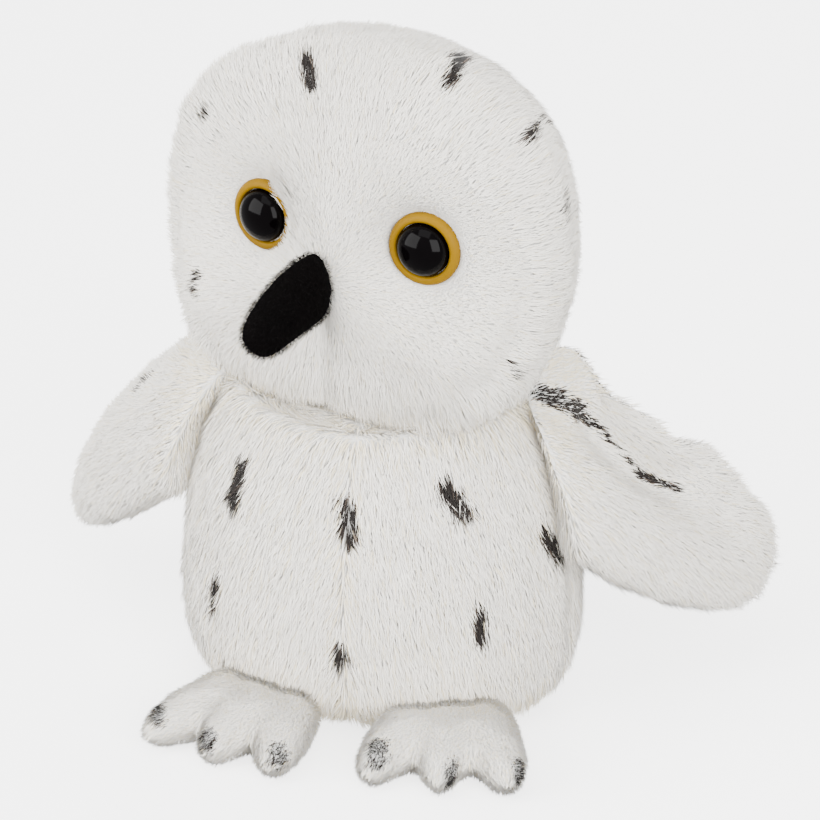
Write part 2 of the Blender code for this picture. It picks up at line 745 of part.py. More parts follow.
def neighbours_as_seen(name, hinge, axis, angles, margin):
    """The body and the head's sweep, as they stand round a piece at several points of its travel."""
    tools = []
    for angle in angles:
        turn = turned_about(hinge, axis, -angle)
        tools.append(cutter(f"{name}_body_{angle:g}", offset(body_form, margin), turn))
        tools.append(cutter(f"{name}_head_{angle:g}", offset(head_sweep, margin), turn))
    return tools


for word, side in SIDES.items():
    middle, upward, leftward, backward, _ = wing_frame(side)
    hinge = Matrix((leftward, backward, upward)).transposed().to_4x4()
    hinge.translation = middle
    wing_axis = axis_empty(f"{word}_wing_axis", hinge, OWL_ROOT)
    forward_turn = -side * WING_FORWARD_DEG
    travel = [0, forward_turn / 2, forward_turn, side * WING_BACK_DEG]
    clear = neighbours_as_seen(f"{word}_wing", middle, upward, travel, GAP)
    wing_cavity = cutter(f"{word}_wing_cavity", wing_form(side, LONG_PLUSH))
    wing_shell = trimmed(f"{word}_wing_shell", wing_form(side, 0), cut=[*clear, wing_cavity])
    front_half = wing_half(f"{word}_wing_front", side, -WING_THICKNESS, -HALF_GAP)
    back_half = wing_half(f"{word}_wing_back", side, HALF_GAP, WING_THICKNESS)
    piece(f"{word}_wing_front_cover", wing_shell, LONG_WHITE, wing_axis, keep=[front_half])
    piece(f"{word}_wing_back_cover", wing_shell, LONG_WHITE, wing_axis, keep=[back_half])
    wing_fill = trimmed(f"{word}_wing_fill", wing_form(side, FILL_INSET), cut=clear)
    piece(f"{word}_wing_stuffing", wing_fill, STUFFING, wing_axis)

# Feet: each a flat stuffed pad with three toes, hinged on the seam between the base and the belly

FOOT_SLICE_SHARES = [
    (0.05, 0.66, 0.66, 0.60),
    (0.17, 0.98, 0.96, 0.94),
    (0.29, 0.92, 0.44, 1.00),
    (0.38, 0.92, 0.44, 1.00),
    (0.50, 1.00, 1.12, 1.00),
    (0.62, 0.92, 0.44, 1.00),
    (0.71, 0.92, 0.44, 1.00),
    (0.83, 0.98, 0.96, 0.94),
    (0.95, 0.66, 0.66, 0.60),
]
FOOT_SEGMENTS = 5
FOOT_SINK = 0.0060
FOOT_STANDOFF = 0.0008
FOOT_PLACES = {
    "left": (LEFT_FOOT_LEFTWARD, LEFT_FOOT_SPLAY_DEG),
    "right": (RIGHT_FOOT_LEFTWARD, RIGHT_FOOT_SPLAY_DEG),
}


def foot_frame(word):
    """The middle of the foot's hinge line and the ways forward and left from it."""
    start_leftward, splay_deg = FOOT_PLACES[word]
    splay = math.radians(splay_deg)
    forward = Vector((math.sin(splay), -math.cos(splay), 0))
    leftward = Vector((math.cos(splay), math.sin(splay), 0))
    start = Vector((start_leftward, 0, FOOT_HINGE_HEIGHT)) + forward * REACH
    return surface_point(body_form, start, -forward) + forward * FOOT_STANDOFF, forward, leftward


def foot_form(word):
    """A form drawn in upright slices from side to side, longest at each toe and narrowed to its root."""
    middle, forward, leftward = foot_frame(word)
    half_length = (FOOT_LENGTH + FOOT_SINK) / 2

    def place(point):
        along = half_length - FOOT_SINK - point.y
        narrow = FOOT_ROOT_WIDTH + (FOOT_WIDTH - FOOT_ROOT_WIDTH) * max(along, 0) / FOOT_LENGTH
        spot = middle + forward * along + leftward * point.z * narrow
        return Vector((spot.x, spot.y, FOOT_THICKNESS / 2 - FLAT_CUT + point.x))

    slices = soft_form(
        "foot_form", FOOT_SLICE_SHARES, FOOT_SEGMENTS,
        FOOT_THICKNESS / 2, half_length, half_length, -1 / 2, 1 / 2,
    )
    return moved(slices, place)


for word in SIDES:
    middle, forward, leftward = foot_frame(word)
    hinge = Matrix((leftward, -forward, Vector((0, 0, 1)))).transposed().to_4x4()
    hinge.translation = middle
    foot_axis = axis_empty(f"{word}_foot_axis", hinge, OWL_ROOT)
    clear = []
    for angle in (0, FOOT_UP_DEG, -FOOT_DOWN_DEG):
        turn = turned_about(middle, leftward, angle)
        clear.append(cutter(f"{word}_foot_body_{angle:g}", offset(body_form, GAP), turn))
    clear.append(FLOOR)
    whole_foot = foot_form(word)
    foot_cavity = cutter(f"{word}_foot_cavity", offset(whole_foot, -SHORT_PLUSH))
    foot_shell = trimmed(f"{word}_foot_shell", whole_foot, cut=[*clear, foot_cavity])
    above = box_cutter(
        f"{word}_foot_above", (-REACH, -REACH, FOOT_SEAM_HEIGHT + HALF_GAP), (REACH, REACH, REACH)
    )
    below = box_cutter(
        f"{word}_foot_below", (-REACH, -REACH, -REACH), (REACH, REACH, FOOT_SEAM_HEIGHT - HALF_GAP)
    )
    piece(f"{word}_foot_upper", foot_shell, SHORT_WHITE, foot_axis, keep=[above])
    piece(f"{word}_foot_sole", foot_shell, SHORT_WHITE, foot_axis, keep=[below])
    foot_fill = trimmed(f"{word}_foot_fill", offset(whole_foot, -FACE_INSET), cut=clear)
    piece(f"{word}_foot_stuffing", foot_fill, STUFFING, foot_axis)
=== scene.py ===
"""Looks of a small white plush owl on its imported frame: pile, felt, plastic and printed marks."""

import json
import math

import bmesh
import bpy
import numpy as np
from mathutils import Matrix, Vector
from mathutils.bvhtree import BVHTree


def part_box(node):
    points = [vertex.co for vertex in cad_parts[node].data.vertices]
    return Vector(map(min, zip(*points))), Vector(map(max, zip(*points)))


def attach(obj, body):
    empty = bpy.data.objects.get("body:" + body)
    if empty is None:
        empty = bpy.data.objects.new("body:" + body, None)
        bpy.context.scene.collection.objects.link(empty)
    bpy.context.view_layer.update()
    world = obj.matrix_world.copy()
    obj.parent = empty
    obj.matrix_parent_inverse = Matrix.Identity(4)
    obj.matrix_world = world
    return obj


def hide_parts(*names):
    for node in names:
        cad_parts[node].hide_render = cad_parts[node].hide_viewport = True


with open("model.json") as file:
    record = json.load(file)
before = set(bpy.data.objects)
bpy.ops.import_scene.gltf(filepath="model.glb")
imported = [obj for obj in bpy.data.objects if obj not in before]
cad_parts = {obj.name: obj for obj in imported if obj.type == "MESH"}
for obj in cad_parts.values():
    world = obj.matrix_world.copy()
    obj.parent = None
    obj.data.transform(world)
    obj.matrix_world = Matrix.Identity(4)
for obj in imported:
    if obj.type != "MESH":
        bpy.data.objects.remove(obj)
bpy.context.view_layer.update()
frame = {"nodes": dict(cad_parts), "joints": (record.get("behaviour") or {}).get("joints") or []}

# Camera
# It stands to the owl's left and above it, with a long lens on a square picture.
# A mark that the picture shows is placed by its pixel, along the ray from here.
PICTURE_SIDE = 820
FOCAL_PIXELS = 3159
SENSOR_WIDTH_MM = 36.0
CAMERA_AZIMUTH = math.radians(14.5)
CAMERA_ELEVATION = math.radians(24.5)
CAMERA_DISTANCE = 0.65
AIM_SIDEWAYS = 0.0061
AIM_HEIGHT = 0.062
NEAREST_SEEN = 0.01


def placed(name, data):
    """A new object of the scene that holds a mesh, a lens or a lamp."""
    made = bpy.data.objects.new(name, data)
    bpy.context.scene.collection.objects.link(made)
    return made


camera_right = Vector((math.cos(CAMERA_AZIMUTH), math.sin(CAMERA_AZIMUTH), 0))
camera_back = Vector((
    math.sin(CAMERA_AZIMUTH) * math.cos(CAMERA_ELEVATION),
    -math.cos(CAMERA_AZIMUTH) * math.cos(CAMERA_ELEVATION),
    math.sin(CAMERA_ELEVATION),
))
camera_up = camera_back.cross(camera_right)
aim = camera_right * AIM_SIDEWAYS + Vector((0, 0, AIM_HEIGHT))
camera_spot = aim + camera_back * CAMERA_DISTANCE
lens = bpy.data.cameras.new("camera")
lens.sensor_width = SENSOR_WIDTH_MM
lens.lens = lens.sensor_width * FOCAL_PIXELS / PICTURE_SIDE
lens.clip_start = NEAREST_SEEN
camera = placed("camera", lens)
camera.matrix_world = Matrix((camera_right, camera_up, camera_back)).transposed().to_4x4()
camera.location = camera_spot
bpy.context.scene.camera = camera


def seen_at(tree, x, y):
    """The point of a surface that the camera sees at a pixel."""
    across = camera_right * (x - PICTURE_SIDE / 2)
    down = camera_up * (PICTURE_SIDE / 2 - y)
    ray = across + down - camera_back * FOCAL_PIXELS
    return tree.ray_cast(camera_spot, ray.normalized())[0]


def seen_behind(tree, sideways, height):
    """The point of a surface seen straight from behind, by its place across and its height."""
    return tree.ray_cast(Vector((sideways, CAMERA_DISTANCE, height)), Vector((0, -1, 0)))[0]


# Body cover
# Four side panels and a base panel of long white plush, sewn with the right sides together.
# Each seam draws the cloth in and hides under the pile that leans away from it.
BODY_PANELS = [
    "body_front_left_panel", "body_front_right_panel", "body_back_left_panel",
    "body_back_right_panel", "body_base_panel",
]
# The skin: how near corners are joined, its cells, and how it is evened out.
WELD = 0.000001
VOXEL = 0.0010
SMOOTH_SHARE = 0.5
SMOOTH_ROUNDS = 12
# The seams: how deep and wide they are drawn in, the share for each, and where they run.
SEAM_DEPTH = 0.0012
SEAM_REACH = 0.0022
CENTRE_SEAM = 0.35
SIDE_SEAM = 0.6
SIDE_SEAM_Y = -0.0040
BASE_SEAM_Z = 0.0032
BEYOND_SEAMS = 1.0
# The lay of the pile: down, and away from the centre seam.
BELLY_PARTING = 0.20
SEAM_PARTING = 0.25
PARTING_REACH = 0.004
# The share of cream strands: some all over, and more as painted shade at the neck, the centre seam
# and the hem.
BODY_CREAM = 0.10
NECK_PAINTED_SHADE = 0.75
NECK_PAINTED_SHADE_RISE = (0.060, 0.074)
SEAM_PAINTED_SHADE = 0.3
SEAM_PAINTED_SHADE_REACH = 0.002
HEM_PAINTED_SHADE = 0.5
HEM_PAINTED_SHADE_FALL = (0.006, 0.014)
MOST_CREAM_AND_SHADE = 0.9
# The pile gets shorter at the hem and longer at the neck.
HEM_SHORTER = 0.85
HEM_FALL = (0.0015, 0.0035)
NECK_LONGER = 0.1
NECK_RISE = (0.060, 0.068)
# The printed marks: how far their roots lie upstream, and what counts as far from any.
MARK_LEAN = 0.0022
UNMARKED = 99.0
# The two ends of each, in pixels, and its half width.
BODY_MARKS = [
    ((246, 464), (236, 508), 0.0015),
    ((345, 506), (353, 544), 0.0013),
    ((445, 486), (462, 515), 0.0016),
    ((541, 534), (554, 558), 0.0014),
    ((221, 578), (218, 606), 0.0012),
    ((479, 608), (479, 643), 0.0013),
    ((339, 648), (347, 662), 0.0010),
]
# The same in metres across and up, seen from behind.
BODY_MARKS_BEHIND = [
    ((-0.017, 0.054), (-0.018, 0.045), 0.0014),
    ((0.016, 0.056), (0.018, 0.047), 0.0014),
    ((-0.002, 0.040), (-0.001, 0.031), 0.0013),
    ((-0.031, 0.034), (-0.030, 0.026), 0.0013),
    ((0.030, 0.033), (0.029, 0.025), 0.0013),
    ((0.013, 0.020), (0.012, 0.013), 0.0012),
    ((-0.015, 0.019), (-0.014, 0.012), 0.0012),
]


def plain_mesh(holder):
    """The mesh of an object with its modifiers worked out; the object itself goes."""
    graph = bpy.context.evaluated_depsgraph_get()
    made = bpy.data.meshes.new_from_object(holder.evaluated_get(graph))
    bpy.data.objects.remove(holder)
    return made


def skin_of(name, nodes, voxel=VOXEL, rounds=SMOOTH_ROUNDS):
    """One smooth closed skin round a stuffed form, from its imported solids; only the outer shell."""
    work = bmesh.new()
    for node in nodes:
        work.from_mesh(frame["nodes"][node].data)
    bmesh.ops.remove_doubles(work, verts=work.verts, dist=WELD)
    mesh = bpy.data.meshes.new(name)
    work.to_mesh(mesh)
    work.free()
    holder = placed(name, mesh)
    remesh = holder.modifiers.new("remesh", "REMESH")
    remesh.mode = "VOXEL"
    remesh.voxel_size = voxel
    smooth = holder.modifiers.new("smooth", "SMOOTH")
    smooth.factor = SMOOTH_SHARE
    smooth.iterations = rounds
    made = plain_mesh(holder)
    work = bmesh.new()
    work.from_mesh(made)
    left = set(work.verts)
    shells = []
    while left:
        shell, edge = set(), [left.pop()]
        while edge:
            vertex = edge.pop()
            shell.add(vertex)
            for link in vertex.link_edges:
                other = link.other_vert(vertex)
                if other in left:
                    left.discard(other)
                    edge.append(other)
        shells.append(shell)
    shells.sort(key=len)
    for shell in shells[:-1]:
        bmesh.ops.delete(work, geom=list(shell), context="VERTS")
    bmesh.ops.recalc_face_normals(work, faces=work.faces)
    work.to_mesh(made)
    work.free()
    made.shade_smooth()
    return placed(name, made)


def points_of(skin):
    """The corners and normals of a skin, as arrays."""
    count = len(skin.data.vertices)
    points = np.empty(count * 3)
    normals = np.empty(count * 3)
    skin.data.vertices.foreach_get("co", points)
    skin.data.vertex_normals.foreach_get("vector", normals)
    return points.reshape(-1, 3), normals.reshape(-1, 3)


def face_middles(skin):
    return np.array([polygon.center for polygon in skin.data.polygons])


def move_to(skin, points):
    skin.data.vertices.foreach_set("co", points.ravel())
    skin.data.update()


def draw_in(skin, distance, depth=SEAM_DEPTH, reach=SEAM_REACH):
    """Sinks the skin along a seam, given each corner's distance from it."""
    points, normals = points_of(skin)
    points -= normals * (depth * np.exp(-((distance / reach) ** 2)))[:, None]
    move_to(skin, points)


def rise(value, low, high):
    """None below the low value, one above the high one, and smooth between."""
    share = np.clip((value - low) / (high - low), 0, 1)
    return share * share * (3 - 2 * share)


def fall(value, low, high):
    """One below the low value, none above the high one, and smooth between."""
    return rise(-value, -high, -low)


def unit(vectors):
    return vectors / np.maximum(np.linalg.norm(vectors, axis=1, keepdims=True), 1e-9)


def laid_along(normals, direction):
    """The pile's way over the surface: a direction with its part along the normal taken out."""
    return unit(direction - normals * np.sum(direction * normals, axis=1, keepdims=True))


def tree_of(skin):
    """A search tree of the skin's faces, for rays."""
    corners = [vertex.co for vertex in skin.data.vertices]
    return BVHTree.FromPolygons(corners, [polygon.vertices for polygon in skin.data.polygons])


def segment_distance(points, start, end):
    run = end - start
    share = np.clip((points - start) @ run / max(run @ run, 1e-12), 0, 1)
    return np.linalg.norm(points - start - share[:, None] * run, axis=1)


def mark_distance(skin, marks, comb, lean, marks_behind=()):
    """How far each corner is from the nearest printed mark, in shares of the mark's half width.

    The dyed roots lie upstream of what shows, because the pile leans away from its roots.
    A mark whose ends miss the skin is left out.
    """
    tree = tree_of(skin)
    points, _ = points_of(skin)
    nearest = np.full(len(points), UNMARKED)
    seen = [(seen_at, *mark) for mark in marks] + [(seen_behind, *mark) for mark in marks_behind]
    for look, start, end, half_width in seen:
        spots = [look(tree, *place) for place in (start, end)]
        if None in spots:
            continue
        ends = []
        for spot in map(np.array, spots):
            root = int(np.argmin(np.linalg.norm(points - spot, axis=1)))
            ends.append(spot - comb[root] * lean)
        nearest = np.minimum(nearest, segment_distance(points, *ends) / half_width)
    return nearest


def store(skin, name, values):
    """Keeps whole numbers on the skin's faces, and other numbers and directions on its corners."""
    whole = values.dtype == np.int32
    kind = "INT" if whole else "FLOAT_VECTOR" if values.ndim == 2 else "FLOAT"
    attribute = skin.data.attributes.new(name, kind, "FACE" if whole else "POINT")
    flat_values = np.ascontiguousarray(values).ravel()
    attribute.data.foreach_set("vector" if values.ndim == 2 else "value", flat_values)


def cover_with(mesh, finish):
    mesh.materials.clear()
    mesh.materials.append(finish)


class Tree:
    """A node tree: node() adds any node, and its result takes part in Python sums."""

    def __init__(self, tree):
        self.tree = tree

    def node(self, kind, settings=None, inputs=None, output=0):
        """Adds a node, with its settings first and then its inputs, and gives one output of it."""
        made = self.tree.nodes.new(kind)
        for name, value in (settings or {}).items():
            if name == "stops":
                ramp = made.color_ramp.elements
                for place, _ in value[1:-1]:
                    ramp.new(place)
                for element, (place, colour) in zip(ramp, value):
                    element.position = place
                    element.color = (*colour, 1.0)
            else:
                setattr(made, name, value)
        self.feed(made, inputs or {})
        return Value(self, made.outputs[output]) if made.outputs else None

    def feed(self, node, inputs):
        """Links what varies to a node's sockets, and leaves plain values on the sockets."""
        for name, value in inputs.items():
            if isinstance(value, Value):
                self.tree.links.new(value.socket, node.inputs[name])
            elif value is not None:
                node.inputs[name].default_value = value

    def shade(self, looks):
        self.feed(self.tree.nodes["Principled BSDF"], looks)

    def split(self, vector):
        """The three parts of a vector."""
        parts = self.node("ShaderNodeSeparateXYZ", {}, {0: vector})
        return [parts.output(axis) for axis in "XYZ"]

    def attribute(self, name, kind="FLOAT"):
        return self.node("GeometryNodeInputNamedAttribute", {"data_type": kind}, {"Name": name})

    def keep(self, geometry, name, value, kind="FLOAT", domain="POINT"):
        return self.node(
            "GeometryNodeStoreNamedAttribute", {"data_type": kind, "domain": domain},
            {"Geometry": geometry, "Name": name, "Value": value},
        )

    def random(self, low, high, seed):
        return self.node(
            "FunctionNodeRandomValue", {"data_type": "FLOAT"}, {2: low, 3: high, "Seed": seed}, 1
        )

    def random_vector(self, seed):
        return self.node(
            "FunctionNodeRandomValue", {"data_type": "FLOAT_VECTOR"},
            {0: (-1, -1, -1), 1: (1, 1, 1), "Seed": seed},
        )

    def vector(self, x, y, z):
        return self.node("ShaderNodeCombineXYZ", {}, {0: x, 1: y, 2: z})

    def choose(self, when, otherwise, then):
        return self.node(
            "GeometryNodeSwitch", {"input_type": "FLOAT"},
            {"Switch": when, "False": otherwise, "True": then},
        )

    def mix(self, share, first, second):
        """A colour between two colours."""
        return self.node(
            "ShaderNodeMix", {"data_type": "RGBA"}, {0: share, 6: (*first, 1), 7: (*second, 1)}, 2
        )

    def place(self):
        """Object coordinates."""
        return self.node("ShaderNodeTexCoord", output="Object")

    def noise(self, where, scale, detail, distortion=0.0, output=0):
        return self.node(
            "ShaderNodeTexNoise", {},
            {"Vector": where, "Scale": scale, "Detail": detail, "Distortion": distortion}, output,
        )

    def bump(self, height, strength, distance):
        return self.node(
            "ShaderNodeBump", {}, {"Height": height, "Strength": strength, "Distance": distance}
        )


class Value:
    """A socket that overloads the operators of arithmetic with Math nodes."""

    def __init__(self, tree, socket):
        self.tree = tree
        self.socket = socket

    def output(self, name):
        """Another output of the same node."""
        return Value(self.tree, self.socket.node.outputs[name])

    def math(self, operation, first, second):
        return self.tree.node("ShaderNodeMath", {"operation": operation}, {0: first, 1: second})

    def __add__(self, other):
        return self.math("ADD", self, other)

    def __sub__(self, other):
        return self.math("SUBTRACT", self, other)

    def __rsub__(self, other):
        return self.math("SUBTRACT", other, self)

    def __mul__(self, other):
        return self.math("MULTIPLY", self, other)

    def __lt__(self, other):
        return self.math("LESS_THAN", self, other)

    def __pow__(self, other):
        return self.math("POWER", self, other)

    def at_least(self, other):
        return self.math("MAXIMUM", self, other)

    __radd__ = __add__
    __rmul__ = __mul__

    def along(self, operation, other=None, scale=None):
        """Vector Math with this vector first."""
        return self.tree.node(
            "ShaderNodeVectorMath", {"operation": operation}, {0: self, 1: other, "Scale": scale}
        )


# Each strand's shape, then how strands vary, how they are dyed, and their places on the map.
STRAND_FLATNESS = 0.4
STRAND_RUN = (0.3, 0.5)
STRAND_TAPER = 1.25
ROOT_DEPTH = 0.0004
CLUMP_DETAIL = 2.0
TUFT_GRAIN = 230.0
TUFT_GROWTH = (0.5, 0.95)
GROWTH_SCATTER = (0.78, 1.12)
WIDTH_SCATTER = (0.75, 1.25)
STAND_SPREAD = 0.35
MARK_GRAIN = 520.0
MARK_RAGGED = 1.5
MARK_STRAY = 0.7
MARK_EDGE = 1.08
DYE_SHADE = 0.985
DYE_FADE = 0.085
DYE_SCATTER = 0.025
WHITE_SHADES = (0.01, 0.56)
CREAM_SHADES = (0.62, 0.83)
MAP_STRAND_WIDTH = 0.008
MAP_LENGTH = 0.96
MAP_MARGIN = 0.02


def pile_tree():
    """Strands that grow from a skin, each a thin three-sided spindle bent over along the comb.

    It reads the skin's comb, growth (a share of the length), mark (distance from a printed mark)
    and cream_and_shade (share of cream strands, partly painted shade in creases), and plants only the
    panel whose number it is given.
    """
    group = bpy.data.node_groups.new("pile", "GeometryNodeTree")
    group.interface.new_socket("Geometry", in_out="OUTPUT", socket_type="NodeSocketGeometry")
    for name, kind in (
        ("Geometry", "Geometry"), ("Panel", "Int"), ("Density", "Float"), ("Length", "Float"),
        ("Width", "Float"), ("Lift", "Float"), ("Crispness", "Float"), ("Spread", "Float"),
        ("Clump Size", "Float"), ("Clump Pull", "Float"), ("Floor", "Float"), ("Seed", "Int"),
        ("Material", "Material"),
    ):
        group.interface.new_socket(name, in_out="INPUT", socket_type=f"NodeSocket{kind}")
    t = Tree(group)
    given = t.node("NodeGroupInput").socket.node
    asked = {socket.name: Value(t, socket) for socket in given.outputs if socket.name}
    seed = asked["Seed"]

    on_panel = t.node(
        "FunctionNodeCompare", {"data_type": "INT", "operation": "EQUAL"},
        {2: t.attribute("panel", "INT"), 3: asked["Panel"]},
    )
    points = t.node("GeometryNodeDistributePointsOnFaces", {}, {
        "Mesh": asked["Geometry"], "Selection": on_panel, "Density": asked["Density"],
        "Seed": seed,
    })
    normal = points.output("Normal")
    position = t.node("GeometryNodeInputPosition")
    clump = t.noise(position, asked["Clump Size"] ** -1, CLUMP_DETAIL, output=1)
    clump = clump.along("SUBTRACT", (0.5, 0.5, 0.5))
    grain = t.noise(position, MARK_GRAIN, 1.0)
    tuft = t.noise(position, TUFT_GRAIN, 1.0)

    chance = t.random(0.0, 1.0, seed + 1)
    edge = t.attribute("mark") + (grain - 0.5) * MARK_RAGGED + (chance - 0.5) * MARK_STRAY
    dye = DYE_SHADE - DYE_FADE * edge.at_least(0.0) ** 3.0
    # Cream strands: some fall at random, and more stand in creases as painted shade.
    cream_and_shade_pick = t.random(0.0, 1.0, seed + 2) < t.attribute("cream_and_shade")
    white = t.random(*WHITE_SHADES, seed + 3)
    shade = t.choose(cream_and_shade_pick, white, t.random(*CREAM_SHADES, seed + 3))
    shade = t.choose(edge < MARK_EDGE, shade, dye - t.random(0.0, DYE_SCATTER, seed + 3))
    points = t.keep(points, "shade", shade)
    points = t.keep(points, "lie", normal, "FLOAT_VECTOR")

    comb = t.attribute("comb", "FLOAT_VECTOR")
    way = comb.along("ADD", clump.along("SCALE", scale=asked["Clump Pull"]))
    way = way.along("ADD", t.random_vector(seed + 4).along("SCALE", scale=asked["Spread"]))
    stray = t.random_vector(seed + 5).along("SCALE", scale=asked["Spread"] * STAND_SPREAD)
    turn = t.node(
        "FunctionNodeAxesToRotation", {"primary_axis": "Z", "secondary_axis": "X"},
        {"Primary Axis": normal.along("ADD", stray).along("NORMALIZE"),
         "Secondary Axis": way.along("NORMALIZE")},
    )
    least, more = TUFT_GROWTH
    growth = t.attribute("growth") * (least + tuft * more) * t.random(*GROWTH_SCATTER, seed + 6)
    size = t.vector(growth, t.random(*WIDTH_SCATTER, seed + 7), growth)

    strand = t.node("GeometryNodeMeshUVSphere", {}, {"Segments": 3, "Rings": 2, "Radius": 1.0})
    x, y, z = t.split(t.node("GeometryNodeInputPosition"))
    share = (z * 0.5 + 0.5) ** STRAND_TAPER
    place_on_map = t.vector(x * MAP_STRAND_WIDTH, share * MAP_LENGTH + MAP_MARGIN, 0.0)
    strand = t.keep(strand, "OFBake", place_on_map, "FLOAT2", "CORNER")
    half_width = asked["Width"] * 0.5
    first, last = STRAND_RUN
    run = asked["Length"] * (first * share + last * share * share)
    lift = asked["Lift"] * asked["Length"] * (2.0 * share - share * share)
    bent = t.vector(run, y * half_width, lift - x * half_width * STRAND_FLATNESS - ROOT_DEPTH)
    strand = t.node("GeometryNodeSetPosition", {}, {"Geometry": strand, "Position": bent})

    strands = t.node(
        "GeometryNodeInstanceOnPoints", {},
        {"Points": points, "Instance": strand, "Rotation": turn, "Scale": size},
    )
    strands = t.node("GeometryNodeRealizeInstances", {}, {"Geometry": strands})
    aside = t.vector(t.attribute("shade"), 0.0, 0.0)
    on_map = t.attribute("OFBake", "FLOAT_VECTOR").along("ADD", aside)
    strands = t.keep(strands, "OFBake", on_map, "FLOAT2", "CORNER")
    x, y, z = t.split(t.node("GeometryNodeInputPosition"))
    above = t.vector(x, y, z.at_least(asked["Floor"]))
    strands = t.node("GeometryNodeSetPosition", {}, {"Geometry": strands, "Position": above})
    own_normal = t.node("GeometryNodeInputNormal").along("SCALE", scale=asked["Crispness"])
    soft_normal = t.attribute("lie", "FLOAT_VECTOR").along("ADD", own_normal)
    strands = t.node("GeometryNodeSetShadeSmooth", {}, {"Geometry": strands})
    strands = t.node(
        "GeometryNodeSetMeshNormal", {"mode": "FREE", "domain": "POINT"},
        {"Mesh": strands, "Custom Normal": soft_normal.along("NORMALIZE")},
    )
    finish = {"Geometry": strands, "Material": asked["Material"]}
    t.node("NodeGroupOutput", {}, {0: t.node("GeometryNodeSetMaterial", {}, finish)})
    return group


PILE = pile_tree()


def pile(name, skin, body, slot, **sizes):
    """Grows the pile of one panel and makes it a plain mesh that rides on a body."""
    grown = placed(name, skin.data)
    grower = grown.modifiers.new("pile", "NODES")
    grower.node_group = PILE
    sockets = [item for item in PILE.interface.items_tree if item.in_out == "INPUT"]
    named = {socket.name: socket.identifier for socket in sockets}
    for word, value in sizes.items():
        grower[named[word.replace("_", " ").title()]] = value
    made = placed(name, plain_mesh(grown))
    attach(made, body)


def new_finish(name):
    """A material with a plain shader, and the tree that its looks are worked out in."""
    made = bpy.data.materials.new(name)
    made.use_nodes = True
    return made, Tree(made.node_tree)


PLUSH_GLOSS = 0.25
PLUSH_SHEEN = 0.1
# Painted shade deep in the pile: how dark each strand is at its root, and how that fades towards the
# tip.
PLUSH_PAINTED_ROOT_SHADE = 0.92
PAINTED_ROOT_SHADE_FADE = 0.6
ROOT_ROUGHNESS = 0.92
TIP_SMOOTHER = 0.25
STRAND_GRAIN = 90.0
STRAND_GREY = 0.06
# From white over cream, which also serves as painted shade in creases, to the printed dye.
PLUSH_TONES = [
    (0.00, (0.92, 0.87, 0.78)), (0.20, (0.95, 0.91, 0.83)), (0.58, (0.96, 0.925, 0.85)),
    (0.60, (0.92, 0.84, 0.66)), (0.85, (0.86, 0.75, 0.52)), (0.86, (0.14, 0.105, 0.08)),
    (0.90, (0.020, 0.014, 0.011)), (1.00, (0.004, 0.003, 0.0025)),
]


def pile_material(name, tones, painted_root_shade, sheen, gloss):
    """Strands coloured by their map: across it one tone per strand, up it from root to tip, darker
    towards the root as painted shade deep in the pile.
    """
    made, t = new_finish(name)
    across, up, _ = t.split(t.node("ShaderNodeUVMap", {"uv_map": "OFBake"}))
    tip = t.node("ShaderNodeValToRGB", {"stops": tones}, {0: across})
    grey = t.node(
        "ShaderNodeTexNoise", {"noise_dimensions": "1D"},
        {"W": across * STRAND_GRAIN, "Detail": 0.0},
    )
    evenly = 1 - STRAND_GREY / 2 + grey * STRAND_GREY
    # Painted shade: each strand is darker towards its root.
    depth = (painted_root_shade + (1 - painted_root_shade) * up ** PAINTED_ROOT_SHADE_FADE) * evenly
    t.shade({
        "Base Color": tip.along("SCALE", scale=depth),
        "Roughness": ROOT_ROUGHNESS - up * TIP_SMOOTHER,
        "Sheen Weight": sheen, "Specular IOR Level": gloss,
    })
    return made


BACKING_COLOUR = (0.93, 0.92, 0.88)
BACKING_THREAD = 0.0006
CLOTH_WAVER = 1.5
CLOTH_STAIN = 60.0
CLOTH_UNEVEN = 0.4
CLOTH_DARKER = 0.8
CLOTH_ROUGHNESS = 0.95
THREAD_RELIEF = 0.3
THREAD_HEIGHT = 0.0002


def backing_material(name, colour, thread):
    """Knitted or woven cloth with a fine thread; on the plush it shows only between strands."""
    made, t = new_finish(name)
    loops = t.node(
        "ShaderNodeTexWave", {"wave_type": "BANDS", "bands_direction": "Z"},
        {"Vector": t.place(), "Scale": 1 / thread, "Distortion": CLOTH_WAVER, "Detail": 1.0},
        1,
    )
    stain = t.noise(t.place(), CLOTH_STAIN, 3.0)
    uneven = loops * CLOTH_UNEVEN + stain * CLOTH_UNEVEN
    dark = tuple(share * CLOTH_DARKER for share in colour)
    t.shade({
        "Base Color": t.mix(uneven, dark, colour), "Roughness": CLOTH_ROUGHNESS,
        "Normal": t.bump(loops, THREAD_RELIEF, THREAD_HEIGHT),
    })
    return made


LONG_PLUSH = pile_material(
    "long white plush", PLUSH_TONES, PLUSH_PAINTED_ROOT_SHADE, PLUSH_SHEEN, PLUSH_GLOSS
)
BACKING = backing_material("plush backing", BACKING_COLOUR, BACKING_THREAD)
LONG_PILE = {
    "density": 5.1e6, "length": 0.0055, "width": 0.00030, "lift": 0.38, "crispness": 0.07,
    "spread": 0.30, "clump_size": 0.0026, "clump_pull": 0.9, "floor": 0.0002,
    "material": LONG_PLUSH,
}
BASE_DENSITY = 0.6e6
BASE_SEED = 77
SEED_STEP = 10

